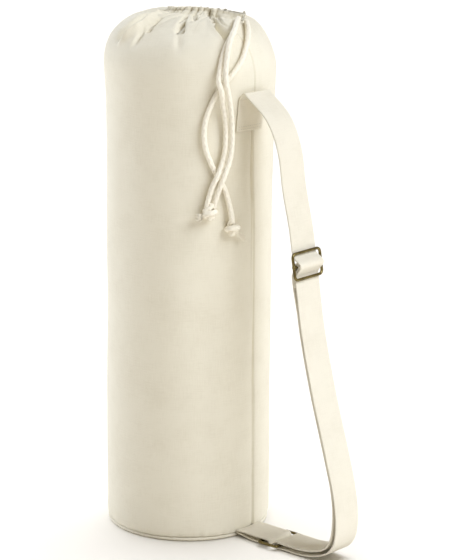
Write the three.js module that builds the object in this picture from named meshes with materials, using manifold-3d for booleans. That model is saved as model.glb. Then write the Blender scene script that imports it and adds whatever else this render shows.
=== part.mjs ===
// Yoga mat bag: a tall cotton tube with a drawn mouth, a piped base and one adjustable webbing strap.
// Millimetres, +Z up. The origin is the middle of the underside of the base, where the bag stands.
// +X points to the side seam, which carries the strap.
import * as THREE from 'three';
import { mergeVertices } from 'three/addons/utils/BufferGeometryUtils.js';
import Module from 'manifold-3d';

const wasm = await Module();
wasm.setup();

// Driving dimensions of the cloth
const bagHeight = 652;
const bodyRadius = 102;
const clothWall = 1.6;
const basePanelThickness = 1.8;
const pipingDiameter = 5.4;
const mouthLength = 97;
const mouthWidth = 38;
const mouthBearing = 22;
const mouthShift = 22;
const mouthDip = 12;
const mouthTaper = 0.35;
const ruffleDepth = 1.4;
const ruffleCount = 32;

// Driving dimensions of the strap and its fittings
const webWidth = 43;
const webThickness = 2;
const strapReach = 152;
const strapFoldHeight = 564;
const foldWidth = 9;
const anchorLength = 50;
const anchorSlant = 7;
const strapFloorGap = 1.5;
const bendSlack = 9.5;
const sliderHeight = 361;
const sliderLength = 32;
const sliderWire = 3.2;
const sliderCorner = 5;
const sewnEndLength = 25;
const ringLength = 31;
const ringWire = 3.4;
const ringCorner = 4.5;
const ringDistance = 37;
const tabReach = 51;

// Driving dimensions of the drawcord
const cordDiameter = 6.6;
const knotLength = 17;
const knotDiameter = 14;

// Clearances
const sewnGap = 0.5;
const looseGap = 0.3;
const threadGap = 0.6;
const knotGap = 0.6;

// Fineness of the faceted forms
const bearingSteps = 96;
const webColumns = 4;
const cordSides = 8;
const wireSides = 8;
const bendSteps = 3;
const lowerSteps = 28;
const upperSteps = 26;

const degrees = Math.PI / 180;

// Finishes
const clothColour = 0xe9e4d3;
const webColour = 0xf1eee0;
const cordColour = 0xf3f0e6;
const brassColour = 0x6b6142;

function finish(colour, roughness, metalness) {
  return new THREE.MeshStandardMaterial({ color: colour, roughness, metalness });
}

function smooth(share) {
  const t = Math.min(1, Math.max(0, share));
  return t * t * (3 - 2 * t);
}

// Sections of the cloth tube, from the base seam to the drawn rim.
// rise: share of the cloth's height; round: share of the body's radius; draw: 0 round, 1 the long
// shape of the drawn mouth; ruffle: share of the ruffle depth.
const sections = [
  { rise: 0.000, round: 0.985, draw: 0.00, ruffle: 0.00 },
  { rise: 0.015, round: 1.000, draw: 0.00, ruffle: 0.00 },
  { rise: 0.300, round: 0.994, draw: 0.00, ruffle: 0.00 },
  { rise: 0.600, round: 0.998, draw: 0.00, ruffle: 0.00 },
  { rise: 0.800, round: 1.004, draw: 0.00, ruffle: 0.00 },
  { rise: 0.890, round: 1.020, draw: 0.00, ruffle: 0.00 },
  { rise: 0.918, round: 0.998, draw: 0.00, ruffle: 0.00 },
  { rise: 0.938, round: 0.948, draw: 0.00, ruffle: 0.05 },
  { rise: 0.953, round: 0.880, draw: 0.02, ruffle: 0.15 },
  { rise: 0.967, round: 0.780, draw: 0.10, ruffle: 0.30 },
  { rise: 0.978, round: 0.680, draw: 0.30, ruffle: 0.50 },
  { rise: 0.985, round: 0.600, draw: 0.62, ruffle: 0.80 },
  { rise: 0.988, round: 0.560, draw: 0.90, ruffle: 1.00 },
  { rise: 0.993, round: 0.550, draw: 0.98, ruffle: 1.00 },
  { rise: 1.000, round: 0.540, draw: 1.00, ruffle: 0.80 },
];
const innerSections = [0, 2, 4, 5, 6, 7, 8, 9, 10, 11, 12, 13, 14];
const lastSection = sections.length - 1;
const clothFoot = pipingDiameter + looseGap;

// Puckers, ridges and dents of the drawn cloth.
// top and foot: section rows; topTurn and footTurn: degrees from the mouth's bearing; spread: degrees
// to each side at the foot; pinch: share of the spread left at the top; depth: share of the body's
// radius, outwards where above zero.
const folds = [
  { top: 11.8, topTurn: -105, foot: 8.6, footTurn: -82, spread: 6.0, pinch: 0.6, depth: -0.062 },
  { top: 12.0, topTurn: -89, foot: 10.4, footTurn: -80, spread: 4.0, pinch: 0.8, depth: -0.030 },
  { top: 11.6, topTurn: -143, foot: 6.5, footTurn: -138, spread: 4.0, pinch: 0.9, depth: 0.030 },
  { top: 11.6, topTurn: -153, foot: 7.2, footTurn: -149, spread: 5.0, pinch: 0.9, depth: -0.036 },
  { top: 11.4, topTurn: -126, foot: 8.6, footTurn: -113, spread: 4.0, pinch: 0.8, depth: -0.034 },
  { top: 12.4, topTurn: -76, foot: 9.2, footTurn: -38, spread: 7.0, pinch: 0.7, depth: -0.050 },
  { top: 12.4, topTurn: -86, foot: 8.2, footTurn: -49, spread: 4.0, pinch: 0.9, depth: 0.024 },
  { top: 8.0, topTurn: -98, foot: 4.6, footTurn: -100, spread: 15, pinch: 0.8, depth: -0.020 },
  { top: 7.4, topTurn: -66, foot: 5.0, footTurn: -64, spread: 10, pinch: 0.8, depth: -0.012 },
  { top: 11.8, topTurn: 84, foot: 8.6, footTurn: 72, spread: 6.0, pinch: 0.6, depth: -0.055 },
  { top: 11.8, topTurn: 58, foot: 9.2, footTurn: 44, spread: 4.5, pinch: 0.8, depth: -0.034 },
  { top: 11.6, topTurn: 118, foot: 7.4, footTurn: 112, spread: 5.5, pinch: 0.8, depth: -0.042 },
  { top: 11.8, topTurn: 146, foot: 8.8, footTurn: 140, spread: 5.0, pinch: 0.8, depth: -0.036 },
  { top: 11.8, topTurn: 176, foot: 8.4, footTurn: 172, spread: 5.0, pinch: 0.8, depth: -0.040 },
  { top: 7.6, topTurn: 100, foot: 4.8, footTurn: 96, spread: 14, pinch: 0.8, depth: -0.016 },
];

function foldDepth(turn, row) {
  let depth = 0;
  for (const fold of folds) {
    const along = (row - fold.foot) / (fold.top - fold.foot);
    const spread = fold.spread * (1 + (fold.pinch - 1) * smooth(along));
    const middle = fold.footTurn + (fold.topTurn - fold.footTurn) * along;
    const aside = ((turn - middle + 540) % 360) - 180;
    const fade = smooth((along + 0.25) / 0.5) * smooth((1.15 - along) / 0.3);
    depth += fold.depth * bodyRadius * fade * Math.exp(-((aside / spread) ** 2));
  }
  return depth;
}

// The drawn form without its folds. turn is in degrees from the mouth's bearing.
function plainSkin(turn, row) {
  const section = sections[row];
  const round = section.round * bodyRadius;
  const ahead = 0.5 + 0.5 * Math.cos(turn * degrees);
  const half = (mouthWidth / 2) * (1 - mouthTaper * ahead);
  const long = round + (mouthLength / 2 - round) * section.draw;
  const across = round + (half - round) * section.draw;
  const local = new THREE.Vector3(
    mouthShift * section.draw + long * Math.cos(turn * degrees),
    across * Math.sin(turn * degrees),
    clothFoot + section.rise * (bagHeight - clothFoot) - mouthDip * section.draw * ahead ** 3,
  );
  return local.applyAxisAngle(new THREE.Vector3(0, 0, 1), mouthBearing * degrees);
}

function skinNormal(turn, row) {
  const around = plainSkin(turn + 1, row).sub(plainSkin(turn - 1, row));
  const above = plainSkin(turn, Math.min(lastSection, row + 1));
  const up = above.sub(plainSkin(turn, Math.max(0, row - 1)));
  return around.cross(up).normalize();
}

function ruffle(turn, row) {
  const fullness = 0.4 + 0.6 * Math.sin((turn * degrees) / 2) ** 2;
  const wave = Math.sin(turn * degrees * ruffleCount);
  return sections[row].ruffle * ruffleDepth * fullness * wave;
}

function outerPoint(turn, row) {
  const relief = foldDepth(turn, row) + ruffle(turn, row);
  return plainSkin(turn, row).addScaledVector(skinNormal(turn, row), relief);
}

function innerPoint(turn, row) {
  const wall = clothWall + sections[row].ruffle * ruffleDepth;
  return plainSkin(turn, row).addScaledVector(skinNormal(turn, row), foldDepth(turn, row) - wall);
}

// Radius of the cloth's outside at a height where the tube is still round
function bodyRadiusAt(height) {
  const rise = (height - clothFoot) / (bagHeight - clothFoot);
  const above = Math.max(1, sections.findIndex((section) => section.rise >= rise));
  const [low, high] = [sections[above - 1], sections[above]];
  const share = (rise - low.rise) / (high.rise - low.rise);
  return bodyRadius * (low.round + (high.round - low.round) * share);
}

// A closed mesh over rings of equal length. A looped mesh joins its last ring to its first, and any
// other closes both ends with strips between opposite corners.
function skinRings(rings, looped) {
  const count = rings[0].length;
  const corners = rings.flat();
  const faces = [];
  const bands = looped ? rings.length : rings.length - 1;
  for (let i = 0; i < bands; i += 1) {
    const next = (i + 1) % rings.length;
    for (let j = 0; j < count; j += 1) {
      const k = (j + 1) % count;
      const [a, b] = [i * count + j, i * count + k];
      const [c, d] = [next * count + k, next * count + j];
      faces.push([a, b, c], [a, c, d]);
    }
  }
  if (!looped) {
    const top = (rings.length - 1) * count;
    for (let j = 0; j < count / 2 - 1; j += 1) {
      const [a, b, c, d] = [j, j + 1, count - 2 - j, count - 1 - j];
      faces.push([a, c, b], [a, d, c], [top + a, top + b, top + c], [top + a, top + c, top + d]);
    }
  }
  return faceOutwards(corners, faces);
}

// Turns every face around where the solid would have a negative volume
function faceOutwards(corners, faces) {
  let volume = 0;
  for (const [a, b, c] of faces) {
    volume += corners[a].dot(corners[b].clone().cross(corners[c]));
  }
  const ordered = volume > 0 ? faces : faces.map(([a, b, c]) => [a, c, b]);
  const geometry = new THREE.BufferGeometry();
  const values = corners.flatMap((corner) => corner.toArray());
  geometry.setAttribute('position', new THREE.Float32BufferAttribute(values, 3));
  geometry.setIndex(ordered.flat());
  return geometry;
}

function makeBodyCloth() {
  const turns = Array.from({ length: bearingSteps }, (_, j) => (j * 360) / bearingSteps);
  const outside = sections.map((_, row) => turns.map((turn) => outerPoint(turn, row)));
  const inside = innerSections.map((row) => turns.map((turn) => innerPoint(turn, row)));
  return skinRings([...outside, ...inside.reverse()], true);
}

// The base is a flat round panel inside a ring of piping
const baseRadius = bodyRadius * sections[0].round;

function makeBasePanel() {
  const radius = baseRadius - pipingDiameter - looseGap;
  const outline = [[0, 0], [radius, 0], [radius, basePanelThickness], [0, basePanelThickness]];
  const profile = outline.map(([out, up]) => new THREE.Vector2(out, up));
  return new THREE.LatheGeometry(profile, bearingSteps / 2).rotateX(Math.PI / 2);
}

function makeBasePiping() {
  const half = pipingDiameter / 2;
  const ring = new THREE.TorusGeometry(baseRadius - half, half, wireSides, bearingSteps / 2);
  return ring.translate(0, 0, half);
}

// Routes of the strap, in the upright plane through the side seam.
// out: share of the strap's reach from the body; up: share of the fold's height.
const runBelowSlider = [
  { out: 0.415, up: 0.000 },
  { out: 0.530, up: 0.000 },
  { out: 0.650, up: 0.000 },
  { out: 0.790, up: 0.008 },
  { out: 0.915, up: 0.028 },
  { out: 0.985, up: 0.060 },
  { out: 1.000, up: 0.105 },
  { out: 0.975, up: 0.165 },
  { out: 0.905, up: 0.240 },
  { out: 0.755, up: 0.375 },
  { out: 0.640, up: 0.500 },
];
const runAboveSlider = [
  { out: 0.500, up: 0.725 },
  { out: 0.435, up: 0.805 },
  { out: 0.385, up: 0.872 },
  { out: 0.320, up: 0.922 },
  { out: 0.235, up: 0.955 },
];
const webPitch = webThickness + looseGap;
const floorLevel = strapFloorGap + webThickness / 2;
const bendEnd = 0.42;
const sewnEndStart = 0.9;

function onRun(row) {
  const rise = row.up * (strapFoldHeight - floorLevel);
  return new THREE.Vector2(bodyRadius + row.out * strapReach, floorLevel + rise);
}

// Outward side of a route that runs up from the floor
function outward(tangent) {
  return new THREE.Vector2(tangent.y, -tangent.x);
}

// The slider's own place: its middle, the strap's direction there and the outward side
const runBelow = onRun(runBelowSlider.at(-1));
const runAbove = onRun(runAboveSlider[0]);
const sliderUp = runAbove.clone().sub(runBelow).normalize();
const sliderOut = outward(sliderUp);
const sliderShare = (sliderHeight - runBelow.y) / (runAbove.y - runBelow.y);
const threadRise = sliderWire / 2 + threadGap + webThickness / 2;
const sliderMiddle = runBelow.clone().lerp(runAbove, sliderShare).addScaledVector(sliderOut, threadRise);

function bySlider(along, out) {
  return sliderMiddle.clone().addScaledVector(sliderUp, along).addScaledVector(sliderOut, out);
}

// Spline stations through a list of points, evenly spaced
function stations(points, count) {
  const curve = new THREE.SplineCurve(points);
  return Array.from({ length: count + 1 }, (_, i) => curve.getPointAt(i / count));
}

// Shifts each station sideways to its outward side by the amount that shift gives for its share
function shifted(points, shift) {
  return points.map((point, i) => {
    const before = points[Math.max(0, i - 1)];
    const after = points[Math.min(points.length - 1, i + 1)];
    const side = outward(after.clone().sub(before).normalize());
    return point.clone().addScaledVector(side, shift(i / (points.length - 1)));
  });
}

// A half turn from one point to another, round their middle, without its two ends
function halfTurn(from, to, steps) {
  const middle = from.clone().add(to).multiplyScalar(0.5);
  return Array.from({ length: steps - 1 }, (_, i) => (
    from.clone().rotateAround(middle, (Math.PI * (i + 1)) / steps)
  ));
}

// Over the slider's bar and the sewn end that is wrapped round it, behind the frame on both sides
function passing(along) {
  const half = sliderLength / 2 - sliderWire - threadGap;
  const hump = Math.abs(along) < half ? Math.cos((Math.PI * along) / (2 * half)) ** 2 : 0;
  return bySlider(along, (2 * threadRise + webPitch) * hump - threadRise);
}

// The fold over the sewn anchor. out and down: shares of the fold's width.
const foldOver = [
  { out: 1.00, down: 0.35 },
  { out: 0.45, down: 0.00 },
  { out: 0.00, down: 0.60 },
];

function anchorOut(height) {
  return bodyRadiusAt(height) + sewnGap + webThickness / 2;
}

// How far the inner layer lies from the outer one. share: 0 at the floor end, 1 at the slider.
// The layers part in the floor bend, and step apart under the slider's sewn end.
function layerShift(share) {
  const behindSewnEnd = smooth((share - sewnEndStart) / (1 - sewnEndStart));
  const inFloorBend = smooth((bendEnd - share) / (bendEnd / 2));
  return -webPitch * (1 + behindSewnEnd) - bendSlack * inFloorBend;
}

function strapRoute() {
  const reach = sliderLength / 2 + webPitch;
  const steps = 16;
  const over = Array.from({ length: steps + 1 }, (_, i) => passing(reach * ((2 * i) / steps - 1)));
  const below = stations([...runBelowSlider.map(onRun), over[0]], lowerSteps);
  const sewnFoot = stations([passing(-sewnEndLength), passing(-reach - webPitch)], 2);
  const lowerHalf = over.slice(0, steps / 2 + 1);
  const sewnEnd = shifted([...sewnFoot, ...lowerHalf], () => -webPitch);
  const bar = halfTurn(bySlider(0, threadRise), bySlider(0, -threadRise), 6);
  const behind = shifted(lowerHalf, () => -2 * webPitch).reverse();
  for (const point of behind) {
    const depth = point.clone().sub(sliderMiddle).dot(sliderOut);
    point.addScaledVector(sliderOut, Math.min(0, -threadRise - depth));
  }
  const inner = shifted(below.slice(0, -1), layerShift).reverse();
  const ringTurn = halfTurn(inner.at(-1), below[0], 6);
  const fold = foldOver.map((row) => {
    const height = strapFoldHeight - row.down * foldWidth;
    return new THREE.Vector2(anchorOut(height) + row.out * foldWidth, height);
  });
  const above = stations([over.at(-1), ...runAboveSlider.map(onRun), ...fold], upperSteps).slice(1);
  const anchorTop = fold.at(-1).y;
  const anchorFoot = strapFoldHeight - anchorLength;
  const anchor = [0.4, 0.7, 1].map((share) => {
    const height = anchorTop + share * (anchorFoot - anchorTop);
    return new THREE.Vector2(anchorOut(height), height);
  });
  return [
    ...sewnEnd, ...bar, ...behind, ...inner, ...ringTurn, ...below, ...over.slice(1), ...above, ...anchor,
  ];
}

// A web of cloth along a route. bend gives, for a station, the share by which the web follows the
// body's round, and drift moves it along Y.
function makeWeb(route, bend, drift) {
  const rings = route.map((point, i) => {
    const before = route[Math.max(0, i - 1)];
    const after = route[Math.min(route.length - 1, i + 1)];
    const side = outward(after.clone().sub(before).normalize());
    const corner = (column, face) => {
      const y = webWidth * (column / webColumns - 0.5) + drift(i);
      const angle = Math.asin(y / point.x) * bend(i);
      const x = point.x - bend(i) * (point.x - Math.sqrt(point.x ** 2 - y ** 2));
      const half = (face * webThickness) / 2;
      return new THREE.Vector3(
        x + half * side.x * Math.cos(angle),
        y + half * side.x * Math.sin(angle),
        point.y + half * side.y,
      );
    };
    const across = Array.from({ length: webColumns + 1 }, (_, column) => column);
    const front = across.map((column) => corner(column, 1));
    const back = across.map((column) => corner(column, -1)).reverse();
    return [...front, ...back];
  });
  return skinRings(rings, false);
}

function makeStrap() {
  const route = strapRoute();
  const lowest = strapFoldHeight - anchorLength;
  const crest = route.reduce((best, point, i) => (point.y > route[best].y ? i : best), 0);
  const bend = (i) => {
    const gone = i >= crest ? 0 : route[i].distanceTo(route[crest]);
    return smooth(1 - gone / (2 * webWidth));
  };
  const drift = (i) => {
    const fallen = (strapFoldHeight - route[i].y) / (strapFoldHeight - lowest);
    return i <= crest ? 0 : -anchorSlant * fallen;
  };
  return makeWeb(route, bend, drift);
}

// A wire bent into a rectangle with round corners, lying in its own XY plane
function wireFrame(width, length, corner, wire) {
  const radius = corner - wire / 2;
  const [x, y] = [(width - wire) / 2 - radius, (length - wire) / 2 - radius];
  const rings = [];
  for (const [centreX, centreY, start] of [[x, y, 0], [-x, y, 90], [-x, -y, 180], [x, -y, 270]]) {
    for (let k = 0; k <= bendSteps; k += 1) {
      const angle = (start + (90 * k) / bendSteps) * degrees;
      rings.push(Array.from({ length: wireSides }, (_, j) => {
        const around = ((j + 0.5) / wireSides) * 2 * Math.PI;
        const reach = radius + (wire / 2) * Math.cos(around);
        return new THREE.Vector3(
          centreX + Math.cos(angle) * reach,
          centreY + Math.sin(angle) * reach,
          (wire / 2) * Math.sin(around),
        );
      }));
    }
  }
  return skinRings(rings, true);
}

function toSolid(geometry) {
  const bare = geometry.clone();
  bare.deleteAttribute('normal');
  bare.deleteAttribute('uv');
  const merged = mergeVertices(bare, 1e-4);
  return new wasm.Manifold(new wasm.Mesh({
    numProp: 3,
    vertProperties: new Float32Array(merged.attributes.position.array),
    triVerts: new Uint32Array(merged.index.array),
  }));
}

function toGeometry(solid) {
  const mesh = solid.getMesh();
  const geometry = new THREE.BufferGeometry();
  geometry.setAttribute('position', new THREE.Float32BufferAttribute(mesh.vertProperties, 3));
  geometry.setIndex(Array.from(mesh.triVerts));
  return geometry;
}

// The slider is a frame with a middle bar whose ends are curled round the frame's sides
function makeSlider() {
  const width = webWidth + 2 * (threadGap + sliderWire);
  const side = (width - sliderWire) / 2;
  const curl = sliderWire / 2 + threadGap - looseGap;
  const bar = new THREE.CylinderGeometry(sliderWire / 2, sliderWire / 2, 2 * side, wireSides);
  let solid = toSolid(wireFrame(width, sliderLength, sliderCorner, sliderWire));
  solid = solid.add(toSolid(bar.rotateZ(Math.PI / 2)));
  for (const end of [-side, side]) {
    const collar = new THREE.CylinderGeometry(curl, curl, sliderWire * 1.2, wireSides);
    solid = solid.add(toSolid(collar.translate(end, 0, 0)));
  }
  const place = new THREE.Matrix4().makeBasis(
    new THREE.Vector3(0, 1, 0),
    new THREE.Vector3(sliderUp.x, 0, sliderUp.y),
    new THREE.Vector3(sliderOut.x, 0, sliderOut.y),
  );
  place.setPosition(sliderMiddle.x, 0, sliderMiddle.y);
  return toGeometry(solid).applyMatrix4(place);
}

// The ring lies flat between the tab's loop and the strap's floor bend
const ringNear = bodyRadius + ringDistance;
const ringLevel = strapFloorGap + webThickness + looseGap + ringWire / 2;

function makeRing() {
  const width = webWidth + 2 * (threadGap + ringWire);
  const ring = wireFrame(width, ringLength, ringCorner, ringWire).rotateZ(Math.PI / 2);
  return ring.translate(ringNear + ringLength / 2, 0, ringLevel);
}

// The tab runs out of the base seam, round the ring's near bar and back
function makeTab() {
  const rise = ringWire / 2 + looseGap + webThickness / 2;
  const [low, high] = [ringLevel - rise, ringLevel + rise];
  const seam = clothFoot + webThickness / 2;
  const start = bodyRadiusAt(seam + webPitch) + sewnGap;
  const turn = bodyRadius + tabReach - rise;
  const lower = stations([
    new THREE.Vector2(start, seam - webPitch / 2),
    new THREE.Vector2(start + tabReach * 0.2, (seam + low) / 2),
    new THREE.Vector2(start + tabReach * 0.45, low),
    new THREE.Vector2(turn, low),
  ], 8);
  const upper = stations([
    new THREE.Vector2(turn, high),
    new THREE.Vector2(start + tabReach * 0.45, high),
    new THREE.Vector2(start + tabReach * 0.2, (seam + high) / 2 + webPitch / 2),
    new THREE.Vector2(start, seam + webPitch / 2),
  ], 8);
  const route = [...lower, ...halfTurn(lower.at(-1), upper[0], 6), ...upper];
  const bend = (i) => smooth(1 - (route[i].x - start) / (tabReach * 0.6));
  return makeWeb(route, bend, () => 0);
}

// Routes of the drawcord's free ends, from the hem at the side seam to their knots
const frontRoute = [
  [66, 12.5, 641], [80.5, -8, 639], [89.5, -21.5, 634.5], [95, -33.5, 627.5], [98, -41, 619],
  [100, -46, 609], [101.5, -50, 598], [103.5, -53, 586.5], [105, -53.5, 575], [105.5, -50.5, 564],
  [105, -46.5, 550], [104.5, -43.5, 536.5], [104, -41.5, 521.5], [104, -41, 507], [104.5, -42.5, 494],
  [105, -46.5, 481.5], [104.5, -52.5, 468.5], [103, -55.5, 460], [100, -57, 451], [96.5, -58.5, 440],
  [93.5, -59.5, 430.5], [92.5, -60, 423.5],
];
const backRoute = [
  [82.5, -13, 629.5], [88, -27.5, 624], [91.5, -39, 616], [93, -46.5, 606], [94.5, -51.5, 596],
  [96, -56, 586], [98, -59, 577], [101, -58.5, 568.5], [100.5, -55.5, 560], [98.5, -52, 550],
  [98, -48.5, 537.5], [98, -46, 522.5], [98, -45.5, 508], [98, -46.5, 495], [97.5, -49.5, 482],
  [98, -55.5, 471], [97.5, -60.5, 462], [93, -63, 451], [90, -64, 441], [88, -66, 430.5],
  [87.5, -67, 424],
];
const crossingRoute = [
  [72, 19.5, 638], [85.5, 7, 631.5], [95.5, -4.5, 622.5], [101, -15, 611.5], [103.5, -24, 600.5],
  [103, -32.5, 591], [101, -41, 582], [97, -48.5, 573], [92.5, -55.5, 562.5], [88.5, -60.5, 550],
  [85, -65, 535.5], [83.5, -67.5, 521.5], [83.5, -67.5, 507], [84.5, -65, 493.5], [87, -60.5, 480],
  [90, -56, 468.5], [93.5, -50.5, 457], [96.5, -46, 447], [98.5, -42, 434.5], [101, -40, 422],
  [103, -39, 411], [103, -38, 402.5],
];

function makeCord(route, diameter) {
  const curve = new THREE.CatmullRomCurve3(route.map((point) => new THREE.Vector3(...point)));
  const section = new THREE.Shape(Array.from({ length: cordSides }, (_, i) => {
    const around = (i / cordSides) * 2 * Math.PI;
    return new THREE.Vector2(Math.cos(around), Math.sin(around)).multiplyScalar(diameter / 2);
  }));
  const steps = Math.ceil(curve.getLength() / (2 * cordDiameter));
  return new THREE.ExtrudeGeometry(section, { steps, extrudePath: curve });
}

// Side of a knot. out: share of its radius; along: share of its length.
const knotProfile = [
  { out: 0.00, along: 0.00 },
  { out: 0.62, along: 0.02 },
  { out: 0.92, along: 0.20 },
  { out: 1.00, along: 0.42 },
  { out: 0.94, along: 0.62 },
  { out: 0.66, along: 0.86 },
  { out: 0.30, along: 0.98 },
  { out: 0.00, along: 1.00 },
];

// An overhand knot's outer shape, round the ends of the strands that it holds
function makeKnot(routes) {
  const ends = routes.map((route) => new THREE.Vector3(...route.at(-1)));
  const before = routes.map((route) => new THREE.Vector3(...route.at(-2)));
  const head = new THREE.Vector3();
  const run = new THREE.Vector3();
  ends.forEach((end, i) => {
    head.addScaledVector(end, 1 / ends.length);
    run.add(end.clone().sub(before[i]).normalize());
  });
  run.normalize();
  const profile = knotProfile.map((row) => (
    new THREE.Vector2((row.out * knotDiameter) / 2, row.along * knotLength)
  ));
  const bulb = new THREE.LatheGeometry(profile, 2 * cordSides);
  bulb.applyQuaternion(new THREE.Quaternion().setFromUnitVectors(new THREE.Vector3(0, 1, 0), run));
  const sunk = cordDiameter / 2;
  bulb.translate(...head.clone().addScaledVector(run, -sunk).toArray());
  let solid = toSolid(bulb);
  for (const route of routes) {
    solid = solid.subtract(toSolid(makeCord(lengthened(route), cordDiameter + 2 * knotGap)));
  }
  return toGeometry(solid);
}

// The last stretch of a route, run on by a clearance
function lengthened(route) {
  const [before, end] = route.slice(-2).map((point) => new THREE.Vector3(...point));
  const run = end.clone().sub(before).normalize();
  return [before.toArray(), end.addScaledVector(run, knotGap).toArray()];
}

const part = new THREE.Group();

function place(name, geometry, material) {
  const mesh = new THREE.Mesh(geometry, material);
  mesh.name = name;
  part.add(mesh);
}

const clothFinish = () => finish(clothColour, 0.9, 0);
const webFinish = () => finish(webColour, 0.85, 0);
const cordFinish = () => finish(cordColour, 0.8, 0);
const brassFinish = () => finish(brassColour, 0.35, 1);

place('body_cloth', makeBodyCloth(), clothFinish());
place('base_panel', makeBasePanel(), clothFinish());
place('base_piping', makeBasePiping(), clothFinish());
place('shoulder_strap', makeStrap(), webFinish());
place('strap_slider', makeSlider(), brassFinish());
place('lower_ring', makeRing(), brassFinish());
place('ring_tab', makeTab(), webFinish());
place('drawcord_front', makeCord(frontRoute, cordDiameter), cordFinish());
place('drawcord_back', makeCord(backRoute, cordDiameter), cordFinish());
place('drawcord_crossing', makeCord(crossingRoute, cordDiameter), cordFinish());
place('pair_knot', makeKnot([frontRoute, backRoute]), cordFinish());
place('single_knot', makeKnot([crossingRoute]), cordFinish());

export default part;
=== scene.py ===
"""A cotton yoga mat bag with a gathered mouth, a webbing strap and a knotted drawcord.

Metres, +Z up. The origin is the middle of the base, and +X points to the side seam with the
strap.
"""

import math

import bmesh
import bpy
import numpy as np
from mathutils import Matrix, Vector


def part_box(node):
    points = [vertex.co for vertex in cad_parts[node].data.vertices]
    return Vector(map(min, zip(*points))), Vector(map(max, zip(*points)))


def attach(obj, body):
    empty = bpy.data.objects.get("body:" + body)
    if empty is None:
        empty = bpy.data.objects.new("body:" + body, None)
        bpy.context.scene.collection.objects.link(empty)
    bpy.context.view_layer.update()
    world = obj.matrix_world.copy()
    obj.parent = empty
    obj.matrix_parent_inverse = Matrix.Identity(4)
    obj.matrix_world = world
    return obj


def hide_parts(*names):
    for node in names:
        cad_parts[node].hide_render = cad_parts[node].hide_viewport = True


bl_info = {
    "name": "Yoga Mat Bag",
    "version": (1, 0, 0),
    "blender": (4, 5, 0),
    "location": "View3D > Sidebar > Mat Bag",
    "description": "Dresses a cotton yoga mat bag with its cloth, strap, fittings and drawcord",
    "category": "Add Mesh",
}

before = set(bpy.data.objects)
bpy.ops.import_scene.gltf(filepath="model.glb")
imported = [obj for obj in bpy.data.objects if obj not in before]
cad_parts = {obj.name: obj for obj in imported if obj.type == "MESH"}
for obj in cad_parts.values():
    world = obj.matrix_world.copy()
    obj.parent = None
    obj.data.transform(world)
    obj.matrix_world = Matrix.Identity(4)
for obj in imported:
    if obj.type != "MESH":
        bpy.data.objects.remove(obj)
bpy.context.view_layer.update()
MM = 0.001
BODY = "root"

CLOTH_LOW, CLOTH_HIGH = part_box("body_cloth")
CLOTH_FOOT = CLOTH_LOW.z
CLOTH_TOP = 652 * MM
PIPING_LOW, PIPING_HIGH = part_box("base_piping")
PANEL_LOW, PANEL_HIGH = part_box("base_panel")


def number_setting(label, words, default):
    return bpy.props.FloatProperty(name=label, description=words, default=default)


def length_setting(label, words, metres):
    return bpy.props.FloatProperty(
        name=label, description=words, default=metres, unit="LENGTH")


def angle_setting(label, words, degrees):
    return bpy.props.FloatProperty(
        name=label, description=words, default=math.radians(degrees), subtype="ANGLE")


def colour_setting(label, words, default):
    return bpy.props.FloatVectorProperty(
        name=label, description=words, default=default, subtype="COLOR", size=3)


class ClothSettings(bpy.types.PropertyGroup):
    """Sizes and colour of the bag's cloth."""

    body_radius: length_setting("Body radius", "Radius of the cloth tube", 0.102)
    wall: length_setting("Wall", "Thickness of the cloth with its hem", 0.0016)
    mouth_length: length_setting("Mouth length", "Length of the drawn mouth", 0.097)
    mouth_width: length_setting("Mouth width", "Width of the drawn mouth", 0.038)
    mouth_bearing: angle_setting("Mouth bearing", "Direction of the mouth's long axis", 22)
    mouth_shift: length_setting("Mouth shift", "How far the mouth lies off the axis", 0.022)
    mouth_dip: length_setting("Mouth dip", "How far the mouth drops at the cord's exits", 0.0105)
    mouth_taper: number_setting(
        "Mouth taper", "Share by which the mouth narrows at the exits", 0.48)
    mouth_lean: number_setting(
        "Mouth lean", "Share by which the rim's far side leans inwards", 0.6)
    ruffle_depth: length_setting("Ruffle depth", "Height of the hem's small pleats", 0.004)
    ruffle_count: bpy.props.IntProperty(
        name="Ruffles", description="Number of small pleats round the mouth", default=38)
    colour: colour_setting("Cloth colour", "Unbleached cotton", (0.82, 0.768, 0.625))


class StrapSettings(bpy.types.PropertyGroup):
    """Sizes and colour of the webbing."""

    width: length_setting("Width", "Width of the webbing", 0.043)
    thickness: length_setting("Thickness", "Thickness of the webbing", 0.002)
    reach: length_setting("Reach", "How far the strap stands out from the body", 0.152)
    fold_height: length_setting("Fold height", "Height of the fold over the anchor", 0.5595)
    fold_width: length_setting("Fold width", "Size of the fold over the anchor", 0.0125)
    anchor_length: length_setting("Anchor length", "Length sewn to the bag under the fold", 0.0465)
    anchor_slant: length_setting("Anchor slant", "How far the anchor's foot leans aside", 0.0035)
    fold_drift: length_setting("Fold drift", "How far the fold lies aside of the seam", 0.004)
    floor_gap: length_setting("Floor gap", "Height of the lowest webbing over the floor", 0.0015)
    bend_slack: length_setting("Bend slack", "How far the layers part in the floor bend", 0.004)
    slider_height: length_setting("Slider height", "Height of the slider's middle", 0.361)
    sewn_end: length_setting("Sewn end", "Length sewn back under the slider", 0.025)
    tab_reach: length_setting("Tab reach", "How far the ring's tab stands out", 0.051)
    colour: colour_setting("Webbing colour", "Bleached cotton webbing", (0.915, 0.853, 0.7))


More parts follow.
